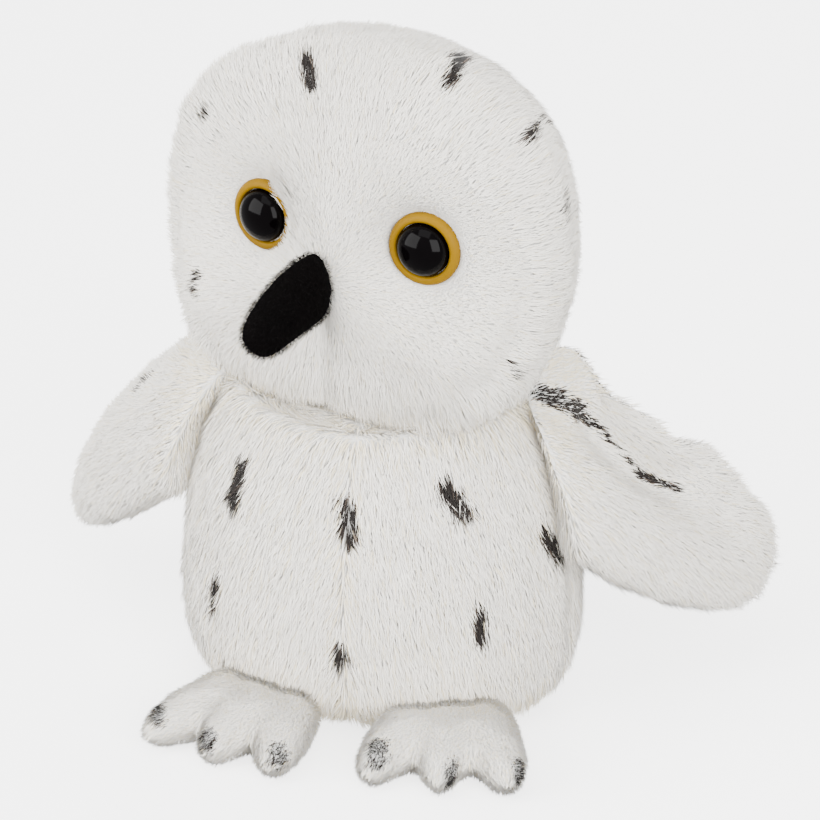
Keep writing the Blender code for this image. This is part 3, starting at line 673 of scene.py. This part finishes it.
body_skin = skin_of("body_skin", [*BODY_PANELS, "body_stuffing"])
points, _ = points_of(body_skin)
from_centre = np.where(points[:, 1] < SIDE_SEAM_Y, np.abs(points[:, 0]), BEYOND_SEAMS)
draw_in(body_skin, from_centre, SEAM_DEPTH * CENTRE_SEAM)
draw_in(body_skin, np.abs(points[:, 1] - SIDE_SEAM_Y), SEAM_DEPTH * SIDE_SEAM)
points, normals = points_of(body_skin)
sideways, forward, height = points.T
parting = BELLY_PARTING + SEAM_PARTING * np.exp(-np.abs(sideways) / PARTING_REACH)
aside = np.sign(sideways) * parting
flow = np.stack([aside, np.zeros(len(points)), np.full(len(points), -1.0)], axis=1)
body_comb = laid_along(normals, flow)
# Painted shade: more cream strands at the neck, along the centre seam and at the hem, where the
# creases lie in shade.
cream_and_shade = BODY_CREAM + NECK_PAINTED_SHADE * rise(height, *NECK_PAINTED_SHADE_RISE)
cream_and_shade += SEAM_PAINTED_SHADE * np.exp(-((np.abs(sideways) / SEAM_PAINTED_SHADE_REACH) ** 2)) * (forward < 0)
cream_and_shade += HEM_PAINTED_SHADE * fall(height, *HEM_PAINTED_SHADE_FALL) * (forward < 0)
growth = 1 - HEM_SHORTER * fall(height, *HEM_FALL)
growth *= 1 + NECK_LONGER * rise(height, *NECK_RISE)
middles = face_middles(body_skin)
panel = np.where(middles[:, 1] < SIDE_SEAM_Y, 0, 2) + (middles[:, 0] < 0)
panel = np.where(middles[:, 2] < BASE_SEAM_Z, 4, panel)
body_marks = mark_distance(body_skin, BODY_MARKS, body_comb, MARK_LEAN, BODY_MARKS_BEHIND)
store(body_skin, "comb", body_comb)
store(body_skin, "mark", body_marks)
store(body_skin, "cream_and_shade", np.clip(cream_and_shade, 0, MOST_CREAM_AND_SHADE))
store(body_skin, "growth", growth)
store(body_skin, "panel", panel.astype(np.int32))
cover_with(body_skin.data, BACKING)
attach(body_skin, "body")
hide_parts(*BODY_PANELS, "body_stuffing")
for number, panel_name in enumerate(BODY_PANELS[:4]):
    pile(
        panel_name.replace("panel", "pile"), body_skin, "body", "long_white_plush",
        panel=number, seed=SEED_STEP * number, **LONG_PILE,
    )
pile(
    "body_base_pile", body_skin, "body", "long_white_plush",
    panel=4, seed=BASE_SEED, **{**LONG_PILE, "density": BASE_DENSITY},
)

# Head cover
# Two short-pile face discs, a strip from the beak over the crown with pile that gets longer
# upward, and a long-pile hood behind, all sewn right sides together.
# The pile runs outward from the beak, up over the crown and down behind.
HEAD_PANELS = [
    "face_left_panel", "face_right_panel", "head_gusset", "hood_left_panel", "hood_right_panel",
]
HEAD_MARKS = [
    ((310, 58), (317, 85), 0.0013),
    ((459, 61), (453, 83), 0.0015),
    ((541, 122), (525, 139), 0.0013),
    ((560, 197), (561, 219), 0.0010),
    ((212, 107), (205, 114), 0.0010),
    ((197, 274), (197, 291), 0.0009),
    ((513, 361), (515, 371), 0.0008),
]
HEAD_MARKS_BEHIND = [
    ((-0.024, 0.120), (-0.025, 0.112), 0.0014),
    ((0.008, 0.128), (0.009, 0.120), 0.0014),
    ((-0.006, 0.106), (-0.006, 0.097), 0.0014),
    ((0.026, 0.108), (0.027, 0.100), 0.0013),
    ((-0.033, 0.096), (-0.033, 0.088), 0.0013),
    ((0.012, 0.088), (0.012, 0.080), 0.0012),
]
# The form, in the head's own frame: the cheek, the panels' borders, seams and eye seats.
HEAD_TURN = math.radians(-16)
HEAD_TOP = 0.1415
HEAD_SMOOTH_ROUNDS = 10
FULLER_CHEEK = 0.0024
CHEEK_RISE = (0.018, 0.037)
DISC_HALF_WIDTH = 0.0390
DISC_HALF_HEIGHT = 0.0290
DISC_MIDDLE = 0.0985
DISC_SETBACK = 0.0030
GUSSET_TIP_HEIGHT = 0.1038
GUSSET_TIP_HALF_WIDTH = 0.0033
GUSSET_HALF_WIDTH = 0.0150
DISC_SEAM = 0.5
FACE_SEAM = 1.2
EYE_SEAT_RADIUS = 0.0078
SEAT_RIM_RISE = (EYE_SEAT_RADIUS, 0.0095)
SEAT_RIM_FALL = (0.0150, 0.0200)
SEAT_RIM_ROUNDS = 50
# The lay of the pile, out from the beak, and its share of cream strands, more of them under the head
# as painted shade.
BEAK_ROOT = Vector((-0.001, -0.017, 0.0965))
BEHIND_RISE = (0.004, 0.022)
BEHIND_FLARE = 0.4
UNDER_FALL = (0.075, 0.084)
UNDER_FLARE = 0.5
HEAD_CREAM = 0.05
UNDER_PAINTED_SHADE = 0.4
UNDER_PAINTED_SHADE_FALL = (0.066, 0.076)
# The length of the pile: by panel, longer at the chin and crown, shorter round the eyes.
FACE_GROWTH = 1.0
HOOD_GROWTH = 0.9
GUSSET_GROWTH = 0.9
CROWN_LONGER = 0.3
CROWN_RISE = (0.108, 0.125)
CHIN_HEIGHT = 0.0800
CHIN_FALL = (CHIN_HEIGHT - 0.003, CHIN_HEIGHT + 0.003)
FACE_CHIN_LONGER = 0.9
HOOD_CHIN_LONGER = 0.5
EYE_CLEARED = 0.0125
EYE_EDGE_RISE = (EYE_SEAT_RADIUS - 0.0003, EYE_CLEARED)
EYE_EDGE_GROWTH = {"left": 0.2, "right": 0.35}
INNER_EYE_GROWTH = 1.4
INNER_EYE_RISE = (0.0030, 0.0060)
FACE_PILE = {
    "density": 1.05e7, "length": 0.0031, "width": 0.00022, "lift": 0.60, "crispness": 0.07,
    "spread": 0.35, "clump_size": 0.0024, "clump_pull": 0.5, "floor": 0.0,
    "material": LONG_PLUSH,
}
HEAD_SEED = 200


def joint_of(body):
    """The joint that carries a body."""
    return next(joint for joint in frame["joints"] if joint["child"] == body)


def centre_of(node):
    low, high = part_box(node)
    return (low + high) / 2


neck = Vector(joint_of("head")["pos_m"])
neck.z = 0
HEAD_PLACE = Matrix.Translation(neck) @ Matrix.Rotation(HEAD_TURN, 4, "Z")
head_from_world = np.array(HEAD_PLACE.inverted())


def in_head(points):
    """World points in the head's own frame, where it faces -Y."""
    return points @ head_from_world[:3, :3].T + head_from_world[:3, 3]


def disc_oval(own):
    """How far each place of the head lies from the middle of the face: one on the discs' rim."""
    return np.hypot(own[:, 0] / DISC_HALF_WIDTH, (own[:, 2] - DISC_MIDDLE) / DISC_HALF_HEIGHT)


def head_panel(own):
    """The panel that covers each place: 0 and 1 the face discs, 2 the strip, 3 and 4 the hood."""
    up_strip = (own[:, 2] - GUSSET_TIP_HEIGHT) / (HEAD_TOP - GUSSET_TIP_HEIGHT)
    half_width = GUSSET_TIP_HALF_WIDTH + up_strip * (GUSSET_HALF_WIDTH - GUSSET_TIP_HALF_WIDTH)
    found = 3 + (own[:, 0] < 0)
    on_face = (disc_oval(own) < 1) & (own[:, 1] < DISC_SETBACK)
    found = np.where(on_face, (own[:, 0] < 0) * 1, found)
    on_strip = (up_strip > 0) & (np.abs(own[:, 0]) < half_width)
    return np.where(on_strip, 2, found).astype(np.int32)


def eye_distance(points, word):
    """How far each point lies from the axis of an eye."""
    out = centre_of(f"{word}_eye_ring") - centre_of(f"{word}_eye_lock_washer")
    offset = points - np.array(centre_of(f"{word}_eye_ring"))
    return np.linalg.norm(offset - (offset @ out)[:, None] * out / out.length_squared, axis=1)


def relax(skin, edges, weight, rounds):
    """Evens out the skin by its weight, moving each corner towards the mean of its neighbours."""
    points, _ = points_of(skin)
    links = np.bincount(edges.ravel(), minlength=len(points))[:, None]
    for _ in range(rounds):
        total = np.zeros_like(points)
        np.add.at(total, edges[:, 0], points[edges[:, 1]])
        np.add.at(total, edges[:, 1], points[edges[:, 0]])
        points += (total / links - points) * weight[:, None]
    move_to(skin, points)


head_skin = skin_of("head_skin", [*HEAD_PANELS, "head_stuffing"], rounds=HEAD_SMOOTH_ROUNDS)
points, _ = points_of(head_skin)
fuller = FULLER_CHEEK * rise(-in_head(points)[:, 0], *CHEEK_RISE)
points -= fuller[:, None] * np.array(HEAD_PLACE.to_3x3().col[0])
move_to(head_skin, points)
own = in_head(points)
in_front = own[:, 1] < DISC_SETBACK
from_rim = np.where(in_front, np.abs(disc_oval(own) - 1) * DISC_HALF_HEIGHT, BEYOND_SEAMS)
on_face_seam = in_front & (own[:, 2] < GUSSET_TIP_HEIGHT)
from_face_seam = np.where(on_face_seam, np.abs(own[:, 0]), BEYOND_SEAMS)
draw_in(head_skin, from_rim, SEAM_DEPTH * DISC_SEAM)
draw_in(head_skin, from_face_seam, SEAM_DEPTH * FACE_SEAM)
head_edges = np.array([edge.vertices for edge in head_skin.data.edges])
for word in ("left", "right"):
    away = eye_distance(points, word)
    seat_rim = rise(away, *SEAT_RIM_RISE) * (1 - rise(away, *SEAT_RIM_FALL)) * (own[:, 1] < 0)
    relax(head_skin, head_edges, seat_rim, SEAT_RIM_ROUNDS)

points, normals = points_of(head_skin)
own = in_head(points)
radial = unit(points - np.array(HEAD_PLACE @ BEAK_ROOT))
behind = rise(own[:, 1], *BEHIND_RISE)[:, None]
under = fall(own[:, 2], *UNDER_FALL)[:, None]
down = np.array([[0.0, 0.0, -1.0]])
flow = radial * (1 - behind) + (down + BEHIND_FLARE * radial) * behind
head_comb = laid_along(normals, flow * (1 - under) + (down + UNDER_FLARE * radial) * under)
panel = head_panel(own)
on_strip = GUSSET_GROWTH + CROWN_LONGER * rise(own[:, 2], *CROWN_RISE)
growth = np.where(panel == 2, on_strip, np.where(panel < 2, FACE_GROWTH, HOOD_GROWTH))
chin = fall(own[:, 2], *CHIN_FALL)
growth *= 1 + np.where(panel < 2, FACE_CHIN_LONGER, HOOD_CHIN_LONGER) * chin
for word, least in EYE_EDGE_GROWTH.items():
    away = eye_distance(points, word)
    clear = least + (1 - least) * rise(away, *EYE_EDGE_RISE)
    if word == "right":
        eye_sideways = in_head(np.array([centre_of("right_eye_ring")]))[0, 0]
        inner = rise(own[:, 0] - eye_sideways, *INNER_EYE_RISE)
        by_beak = np.where(away < EYE_CLEARED, INNER_EYE_GROWTH, 1)
        clear = clear * (1 - inner) + by_beak * inner
    growth *= np.where(own[:, 1] < 0, clear, 1)
head_marks = mark_distance(head_skin, HEAD_MARKS, head_comb, MARK_LEAN, HEAD_MARKS_BEHIND)
store(head_skin, "comb", head_comb)
store(head_skin, "mark", head_marks)
# Painted shade: more cream strands under the head, where it lies in shade.
store(head_skin, "cream_and_shade", HEAD_CREAM + UNDER_PAINTED_SHADE * fall(own[:, 2], *UNDER_PAINTED_SHADE_FALL))
store(head_skin, "growth", growth)
store(head_skin, "panel", head_panel(in_head(face_middles(head_skin))))
cover_with(head_skin.data, BACKING)
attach(head_skin, "head")
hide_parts(*HEAD_PANELS, "head_stuffing")
for number, panel_name in enumerate(HEAD_PANELS):
    pile(
        panel_name.replace("_panel", "") + "_pile", head_skin, "head",
        "short_white_plush" if number < 2 else "long_white_plush",
        panel=number, seed=HEAD_SEED + SEED_STEP * number,
        **(FACE_PILE if number < 3 else LONG_PILE),
    )

# Eyes
# A yellow ring with a black domed pupil snapped through it, of polished plastic.
# Both sit in the face's sunken seat, on a stem that a lock washer holds behind the cloth.
EYE_SIDES = 72
SHARP_EDGE = math.radians(50)
RING_RADIUS = 0.0075
RING_THICKNESS = 0.0018
RING_ROUND = 0.0013
RING_STEPS = 8
BORE_STEPS = 5
PUPIL_RADIUS = 0.0054
PUPIL_PLAY = 0.0002
PUPIL_HEIGHT = 0.0036
PUPIL_SINK = 0.0006
PUPIL_FOOT = 0.0002
DOME_STEPS = 16
YELLOW_TONES = ((0.20, 0.108, 0.0), (0.16, 0.082, 0.0))
YELLOW_ROUGHNESS = 0.35
YELLOW_GLOSS = 0.08
BLACK_TONES = ((0.0012, 0.0008, 0.0010), (0.0006, 0.0004, 0.0005))
BLACK_ROUGHNESS = 0.06
BLACK_GLOSS = 0.05
CLOUD_GRAIN = 350.0
SCUFF_GRAIN = 2500.0
SCUFF_ROUGHER = 0.8
SCUFF_RELIEF = 0.04
SCUFF_HEIGHT = 0.00005


def turned(name, profile, place, finish):
    """A closed turned shape, from a profile of radius and height from axis to axis or a ring's."""
    work = bmesh.new()
    rings = []
    for radius, height in profile:
        if radius == 0:
            rings.append([work.verts.new(place @ Vector((0, 0, height)))] * EYE_SIDES)
            continue
        ring = []
        for step in range(EYE_SIDES):
            angle = 2 * math.pi * step / EYE_SIDES
            spot = Vector((radius * math.cos(angle), radius * math.sin(angle), height))
            ring.append(work.verts.new(place @ spot))
        rings.append(ring)
    closed = profile[0][0] > 0
    for lower, upper in zip(rings, rings[1:] + (rings[:1] if closed else [])):
        for step in range(EYE_SIDES):
            corners = [lower[step], lower[step - 1], upper[step - 1], upper[step]]
            work.faces.new(list(dict.fromkeys(corners)))
    bmesh.ops.recalc_face_normals(work, faces=work.faces)
    mesh = bpy.data.meshes.new(name)
    work.to_mesh(mesh)
    work.free()
    mesh.shade_smooth()
    mesh.set_sharp_from_angle(angle=SHARP_EDGE)
    mesh.materials.append(finish)
    return placed(name, mesh)


def arc(centre_radius, centre_height, radius, start, end, steps):
    """Profile points round an arc, its angles in degrees from the outward way towards the top."""
    made = []
    for step in range(steps + 1):
        angle = math.radians(start + (end - start) * step / steps)
        outward, upward = radius * math.cos(angle), radius * math.sin(angle)
        made.append((centre_radius + outward, centre_height + upward))
    return made


def plastic_material(name, colour, dark, roughness, gloss):
    """Moulded plastic: a little uneven in colour, with faint scuffs in its polish."""
    made, t = new_finish(name)
    cloud = t.noise(t.place(), CLOUD_GRAIN, 3.0)
    scuff = t.noise(t.place(), SCUFF_GRAIN, 4.0, 1.0)
    t.shade({
        "Base Color": t.mix(cloud, dark, colour),
        "Roughness": roughness + scuff * roughness * SCUFF_ROUGHER,
        "Normal": t.bump(scuff, SCUFF_RELIEF, SCUFF_HEIGHT), "Specular IOR Level": gloss,
    })
    return made


YELLOW = plastic_material("yellow plastic", *YELLOW_TONES, YELLOW_ROUGHNESS, YELLOW_GLOSS)
BLACK = plastic_material("black plastic", *BLACK_TONES, BLACK_ROUGHNESS, BLACK_GLOSS)
bore = PUPIL_RADIUS + PUPIL_PLAY
bore_round = RING_ROUND / 2
RING_PROFILE = [
    (bore, 0.0), (RING_RADIUS, 0.0),
    *arc(RING_RADIUS - RING_ROUND, RING_THICKNESS - RING_ROUND, RING_ROUND, 0, 90, RING_STEPS),
    *arc(bore + bore_round, RING_THICKNESS - bore_round, bore_round, 90, 180, BORE_STEPS),
]
dome_base = RING_THICKNESS - PUPIL_SINK
PUPIL_PROFILE = [(0.0, PUPIL_FOOT), (PUPIL_RADIUS, PUPIL_FOOT), (PUPIL_RADIUS, dome_base)]
for step in range(1, DOME_STEPS):
    angle = math.pi / 2 * step / DOME_STEPS
    outward, upward = PUPIL_RADIUS * math.cos(angle), PUPIL_HEIGHT * math.sin(angle)
    PUPIL_PROFILE.append((outward, dome_base + upward))
PUPIL_PROFILE.append((0.0, dome_base + PUPIL_HEIGHT))
for word in ("left", "right"):
    out = (centre_of(f"{word}_eye_ring") - centre_of(f"{word}_eye_lock_washer")).normalized()
    seat = centre_of(f"{word}_eye_ring") - out * RING_THICKNESS / 2
    place = Matrix.Translation(seat) @ out.to_track_quat("Z", "Y").to_matrix().to_4x4()
    ring = turned(f"{word}_eye_iris", RING_PROFILE, place, YELLOW)
    pupil = turned(f"{word}_eye_dome", PUPIL_PROFILE, place, BLACK)
    for made, node, slot in (
        (ring, "eye_ring", "yellow_plastic"), (pupil, "eye_pupil", "black_plastic"),
    ):
        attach(made, "head")
        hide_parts(f"{word}_{node}")

# Beak
# A cone of black felt, turned right side out, stuffed and sewn to the face by hand.
# It bends down and to the owl's right, and its surface is brushed to short loose fibres.
BEAK_VOXEL = 0.0005
BEAK_SMOOTH_ROUNDS = 14
BEAK_FLOW = Vector((-0.3, -1, -0.5))
FELT_COLOUR = (0.0012, 0.0010, 0.0010)
FELT_LIGHTER = 2.6
FELT_GLOSS = 0.02
FELT_GRAIN = 1800.0
FELT_RELIEF = 0.5
FELT_HEIGHT = 0.0002
# The fuzz is painted darker towards its roots, as shade among the fibres.
FUZZ_PAINTED_ROOT_SHADE = 0.7
FUZZ_TONES = [
    (0.00, (0.0010, 0.0008, 0.0009)), (0.50, (0.0040, 0.0035, 0.0036)),
    (1.00, (0.0500, 0.0480, 0.0480)),
]
FUZZ_SEED = 400


def felt_material(name, colour):
    """Matted fibres with a rough, uneven surface."""
    made, t = new_finish(name)
    mat = t.noise(t.place(), FELT_GRAIN, 5.0, 2.0)
    light = tuple(share * FELT_LIGHTER for share in colour)
    t.shade({
        "Base Color": t.mix(mat, colour, light), "Roughness": 1.0,
        "Normal": t.bump(mat, FELT_RELIEF, FELT_HEIGHT), "Specular IOR Level": FELT_GLOSS,
    })
    return made


FUZZ = pile_material("black felt fuzz", FUZZ_TONES, FUZZ_PAINTED_ROOT_SHADE, 0.0, FELT_GLOSS)
BEAK_FUZZ = {
    "density": 1.1e7, "length": 0.0014, "width": 0.00009, "lift": 1.0, "crispness": 0.5,
    "spread": 1.3, "clump_size": 0.002, "clump_pull": 0.9, "floor": 0.0, "material": FUZZ,
}

beak_skin = skin_of("beak_felt", ["beak_cover", "beak_stuffing"], BEAK_VOXEL, BEAK_SMOOTH_ROUNDS)
points, normals = points_of(beak_skin)
flow = np.repeat(np.array([HEAD_PLACE.to_3x3() @ BEAK_FLOW]), len(points), axis=0)
store(beak_skin, "comb", laid_along(normals, flow))
store(beak_skin, "mark", np.full(len(points), UNMARKED))
store(beak_skin, "cream_and_shade", np.zeros(len(points)))
store(beak_skin, "growth", np.ones(len(points)))
store(beak_skin, "panel", np.zeros(len(beak_skin.data.polygons), np.int32))
cover_with(beak_skin.data, felt_material("black felt", FELT_COLOUR))
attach(beak_skin, "head")
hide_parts("beak_cover", "beak_stuffing")
pile("beak_fuzz", beak_skin, "head", "black_felt", panel=0, seed=FUZZ_SEED, **BEAK_FUZZ)

# Wings
# Two flippers of long plush, each a front and a back cover sewn round the edge and lightly
# stuffed. They are sewn into the side seams, and their pile runs from the root to the tip.
# The left one is curled, with a crease along it and a straighter upper edge.
WING_HALF_CHORD = 0.018
# The lay of the pile, out to both edges, its cream strands, more of them at the root as painted
# shade, and its length.
OUTWARD_ABOVE = 0.9
OUTWARD_BELOW = 0.35
WING_ROOT_RISE = (0.0, 0.016)
WING_CREAM = 0.08
WING_ROOT_PAINTED_SHADE = 0.5
WING_ROOT_SHORTER = 0.45
# The crease: the pixels it runs through, and how it is drawn in and fades.
CREASE = {"left": [(572, 396), (603, 420), (642, 458), (674, 480), (722, 512)], "right": []}
CREASE_DEPTH = 0.0080
CREASE_REACH = 0.0068
CREASE_START = 0.3
CREASE_RISE = (0, 0.012)
CREASE_LOSS = 0.7
CREASE_FALL = (0.028, 0.044)
CREASE_SHORTER = 0.45
EDGE_RISE = (0, 0.012)
# How far the upper edge moves up, by the distance along the wing.
EDGE_SHIFTS = [
    (0.002, 0.0066), (0.010, -0.0005), (0.023, -0.0016), (0.031, -0.0024),
    (0.040, 0.0008), (0.048, -0.0002), (0.0545, -0.0026), (0.065, -0.0024),
]
WING_MARKS = {
    "left": [
        ((548, 396), (580, 410), 0.0021),
        ((582, 412), (604, 430), 0.0009),
        # This thin mark along the crease is painted shade: its dark strands stand for the fold's
        # shadow between the printed marks.
        ((606, 434), (636, 464), 0.0005),
        ((642, 474), (664, 484), 0.0012),
        ((664, 484), (684, 491), 0.0007),
    ],
    "right": [((154, 378), (141, 392), 0.0011)],
}
WING_MARKS_BEHIND = {
    "left": [((0.045, 0.052), (0.051, 0.047), 0.0014), ((0.060, 0.036), (0.066, 0.031), 0.0013)],
    "right": [
        ((-0.044, 0.050), (-0.050, 0.045), 0.0014), ((-0.062, 0.036), (-0.067, 0.031), 0.0013),
    ],
}
WING_SEED = 500

for word, side in (("left", 1), ("right", -1)):
    covers = [f"{word}_wing_front_cover", f"{word}_wing_back_cover"]
    wing_skin = skin_of(f"{word}_wing_skin", [*covers, f"{word}_wing_stuffing"])
    joint = joint_of(f"{word}_wing")
    root = np.array(joint["pos_m"])
    tree = tree_of(wing_skin)
    points, _ = points_of(wing_skin)
    far = points[np.argmax(np.linalg.norm(points - root, axis=1))]
    reach = (far - root) / np.linalg.norm(far - root)
    flat = np.cross(reach, -side * np.array(joint["axis"]))
    flat /= np.linalg.norm(flat)
    chord = np.cross(flat, reach)
    from_crease = np.full(len(points), BEYOND_SEAMS)
    if CREASE[word]:
        spots = [np.array(seen_at(tree, *pixel)) for pixel in CREASE[word]]
        pairs = zip(spots, spots[1:])
        from_crease = np.min([segment_distance(points, *pair) for pair in pairs], axis=0)
        from_start = np.linalg.norm(points - spots[0], axis=1)
        opening = CREASE_START + (1 - CREASE_START) * rise(from_start, *CREASE_RISE)
        ending = 1 - CREASE_LOSS * rise(from_start, *CREASE_FALL)
        draw_in(wing_skin, from_crease, CREASE_DEPTH * (opening * ending), CREASE_REACH)
        points, _ = points_of(wing_skin)
        shift = np.interp((points - root) @ reach, *zip(*EDGE_SHIFTS))
        shift *= rise((points - root) @ chord, *EDGE_RISE)
        move_to(wing_skin, points + shift[:, None] * chord)
    points, normals = points_of(wing_skin)
    across = (points - root) @ chord
    outward = np.where(across > 0, OUTWARD_ABOVE, OUTWARD_BELOW) * across / WING_HALF_CHORD
    comb = laid_along(normals, reach + outward[:, None] * chord)
    near_root = 1 - rise((points - root) @ reach, *WING_ROOT_RISE)
    in_crease = np.exp(-((from_crease / CREASE_REACH) ** 2))
    growth = (1 - WING_ROOT_SHORTER * near_root) * (1 - CREASE_SHORTER * in_crease)
    marks = mark_distance(wing_skin, WING_MARKS[word], comb, MARK_LEAN, WING_MARKS_BEHIND[word])
    behind = (face_middles(wing_skin) - root) @ flat * side > 0
    store(wing_skin, "comb", comb)
    store(wing_skin, "mark", marks)
    # Painted shade: more cream strands at the wing's root, in the crease against the body.
    store(wing_skin, "cream_and_shade", WING_CREAM + WING_ROOT_PAINTED_SHADE * near_root)
    store(wing_skin, "growth", growth)
    store(wing_skin, "panel", behind.astype(np.int32))
    cover_with(wing_skin.data, BACKING)
    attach(wing_skin, f"{word}_wing")
    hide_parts(*covers, f"{word}_wing_stuffing")
    for number, cover in enumerate(covers):
        pile(
            cover.replace("cover", "pile"), wing_skin, f"{word}_wing", "long_white_plush",
            panel=number, seed=WING_SEED + 2 * SEED_STEP * number + side, **LONG_PILE,
        )

# Feet
# Each foot is an upper and a sole of short plush, with three toes, stuffed flat.
# The root of each is caught in the seam between the belly and the base.
FOOT_VOXEL = 0.0007
FOOT_SMOOTH_ROUNDS = 8
FOOT_FLARE = 0.4
FLARE_START = 0.01
FOOT_ROOT_RISE = (0.004, 0.014)
FOOT_CREAM = 0.12
# More cream strands at the foot's root, where it meets the body, are painted shade.
FOOT_ROOT_PAINTED_SHADE = 0.6
SOLE_SHORTER = 0.8
SOLE_FALL = (0.0005, 0.0015)
FOOT_MARK_LEAN = 0.0008
FOOT_MARKS = {
    "left": [
        ((377, 747), (377, 760), 0.0019),
        ((450, 770), (448, 780), 0.0016),
        ((517, 767), (516, 778), 0.0016),
    ],
    "right": [
        ((208, 737), (208, 747), 0.0016),
        ((277, 752), (276, 761), 0.0018),
        ((160, 710), (159, 720), 0.0015),
    ],
}
FOOT_PILE = {
    "density": 9.5e6, "length": 0.0024, "width": 0.00021, "lift": 0.70, "crispness": 0.10,
    "spread": 0.42, "clump_size": 0.0024, "clump_pull": 0.6, "floor": 0.0002,
    "material": LONG_PLUSH,
}
FOOT_SEED = 600

for word, side in (("left", 1), ("right", -1)):
    nodes = [f"{word}_foot_upper", f"{word}_foot_sole", f"{word}_foot_stuffing"]
    foot_skin = skin_of(f"{word}_foot_skin", nodes, FOOT_VOXEL, FOOT_SMOOTH_ROUNDS)
    joint = joint_of(f"{word}_foot")
    root = np.array(joint["pos_m"])
    leftward = Vector(joint["axis"])
    forward = np.array(Vector((leftward.y, -leftward.x, 0)))
    points, normals = points_of(foot_skin)
    flow = forward + FOOT_FLARE * unit(points - root - FLARE_START * forward)
    comb = laid_along(normals, flow)
    near_root = 1 - rise((points - root) @ forward, *FOOT_ROOT_RISE)
    store(foot_skin, "comb", comb)
    store(foot_skin, "mark", mark_distance(foot_skin, FOOT_MARKS[word], comb, FOOT_MARK_LEAN))
    # Painted shade: more cream strands at the foot's root, against the body.
    store(foot_skin, "cream_and_shade", FOOT_CREAM + FOOT_ROOT_PAINTED_SHADE * near_root)
    store(foot_skin, "growth", 1 - SOLE_SHORTER * fall(points[:, 2], *SOLE_FALL))
    store(foot_skin, "panel", np.zeros(len(foot_skin.data.polygons), np.int32))
    cover_with(foot_skin.data, BACKING)
    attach(foot_skin, f"{word}_foot")
    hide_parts(*nodes)
    pile(
        f"{word}_foot_pile", foot_skin, f"{word}_foot", "short_white_plush",
        panel=0, seed=FOOT_SEED + side, **FOOT_PILE,
    )

# Inside
# A cloth pouch of pellets low in the body, and the eyes' white plastic lock washers.
# They stay as packed and only get their finish.
POUCH_COLOUR = (0.72, 0.68, 0.60)
POUCH_THREAD = 0.0005
WHITE_TONES = ((0.82, 0.82, 0.80), (0.74, 0.74, 0.72))
WHITE_ROUGHNESS = 0.4
WHITE_GLOSS = 0.5

POUCH_CLOTH = backing_material("pouch cloth", POUCH_COLOUR, POUCH_THREAD)
WHITE = plastic_material("white plastic", *WHITE_TONES, WHITE_ROUGHNESS, WHITE_GLOSS)
for node, finish in (
    ("pellet_pouch", POUCH_CLOTH), ("left_eye_lock_washer", WHITE),
    ("right_eye_lock_washer", WHITE),
):
    cover_with(frame["nodes"][node].data, finish)

# Studio
# A pale seamless floor that gives off its own soft light, under a white sky and four large lamps.
# The two lamps in front show as windows in each pupil; one more hangs above, and one stands behind.
FLOOR_HALF = 15.0
FLOOR_GLOW = 2.6
FLOOR_TONES = ((0.93, 0.93, 0.93), (0.95, 0.95, 0.95))
FLOOR_GRAIN = 40.0
FLOOR_ROUGHNESS = 0.9
ROOM_GLOW = 1.15
LAMP_AIM = Vector((0, 0, 0.07))
# The name, place, width, height and power of each lamp.
LAMPS = [
    ("left window", (-0.95, -0.75, 0.55), 1.1, 1.0, 36),
    ("right window", (0.75, -0.95, 0.50), 0.9, 1.0, 36),
    ("top lamp", (-0.1, -0.5, 1.2), 0.9, 0.9, 9),
    ("back lamp", (0.25, 1.3, 0.80), 1.2, 1.0, 22),
]

floor_finish, t = new_finish("pale floor")
t.shade({
    "Base Color": t.mix(t.noise(t.place(), FLOOR_GRAIN, 2.0), *FLOOR_TONES),
    "Roughness": FLOOR_ROUGHNESS, "Emission Color": (1, 1, 1, 1), "Emission Strength": FLOOR_GLOW,
})
work = bmesh.new()
bmesh.ops.create_grid(work, x_segments=1, y_segments=1, size=FLOOR_HALF)
floor_mesh = bpy.data.meshes.new("floor")
work.to_mesh(floor_mesh)
work.free()
floor_mesh.materials.append(floor_finish)
floor = placed("floor", floor_mesh)
floor.visible_diffuse = False
floor.visible_glossy = False

world = bpy.data.worlds.new("room")
world.use_nodes = True
Tree(world.node_tree).feed(
    world.node_tree.nodes["Background"], {"Color": (1, 1, 1, 1), "Strength": ROOM_GLOW}
)
bpy.context.scene.world = world

for name, spot, width, height, power in LAMPS:
    lamp = bpy.data.lights.new(name, "AREA")
    lamp.shape = "RECTANGLE"
    lamp.size = width
    lamp.size_y = height
    lamp.energy = power
    way = (Vector(spot) - LAMP_AIM).to_track_quat("Z", "Y").to_matrix().to_4x4()
    placed(name, lamp).matrix_world = Matrix.Translation(spot) @ way
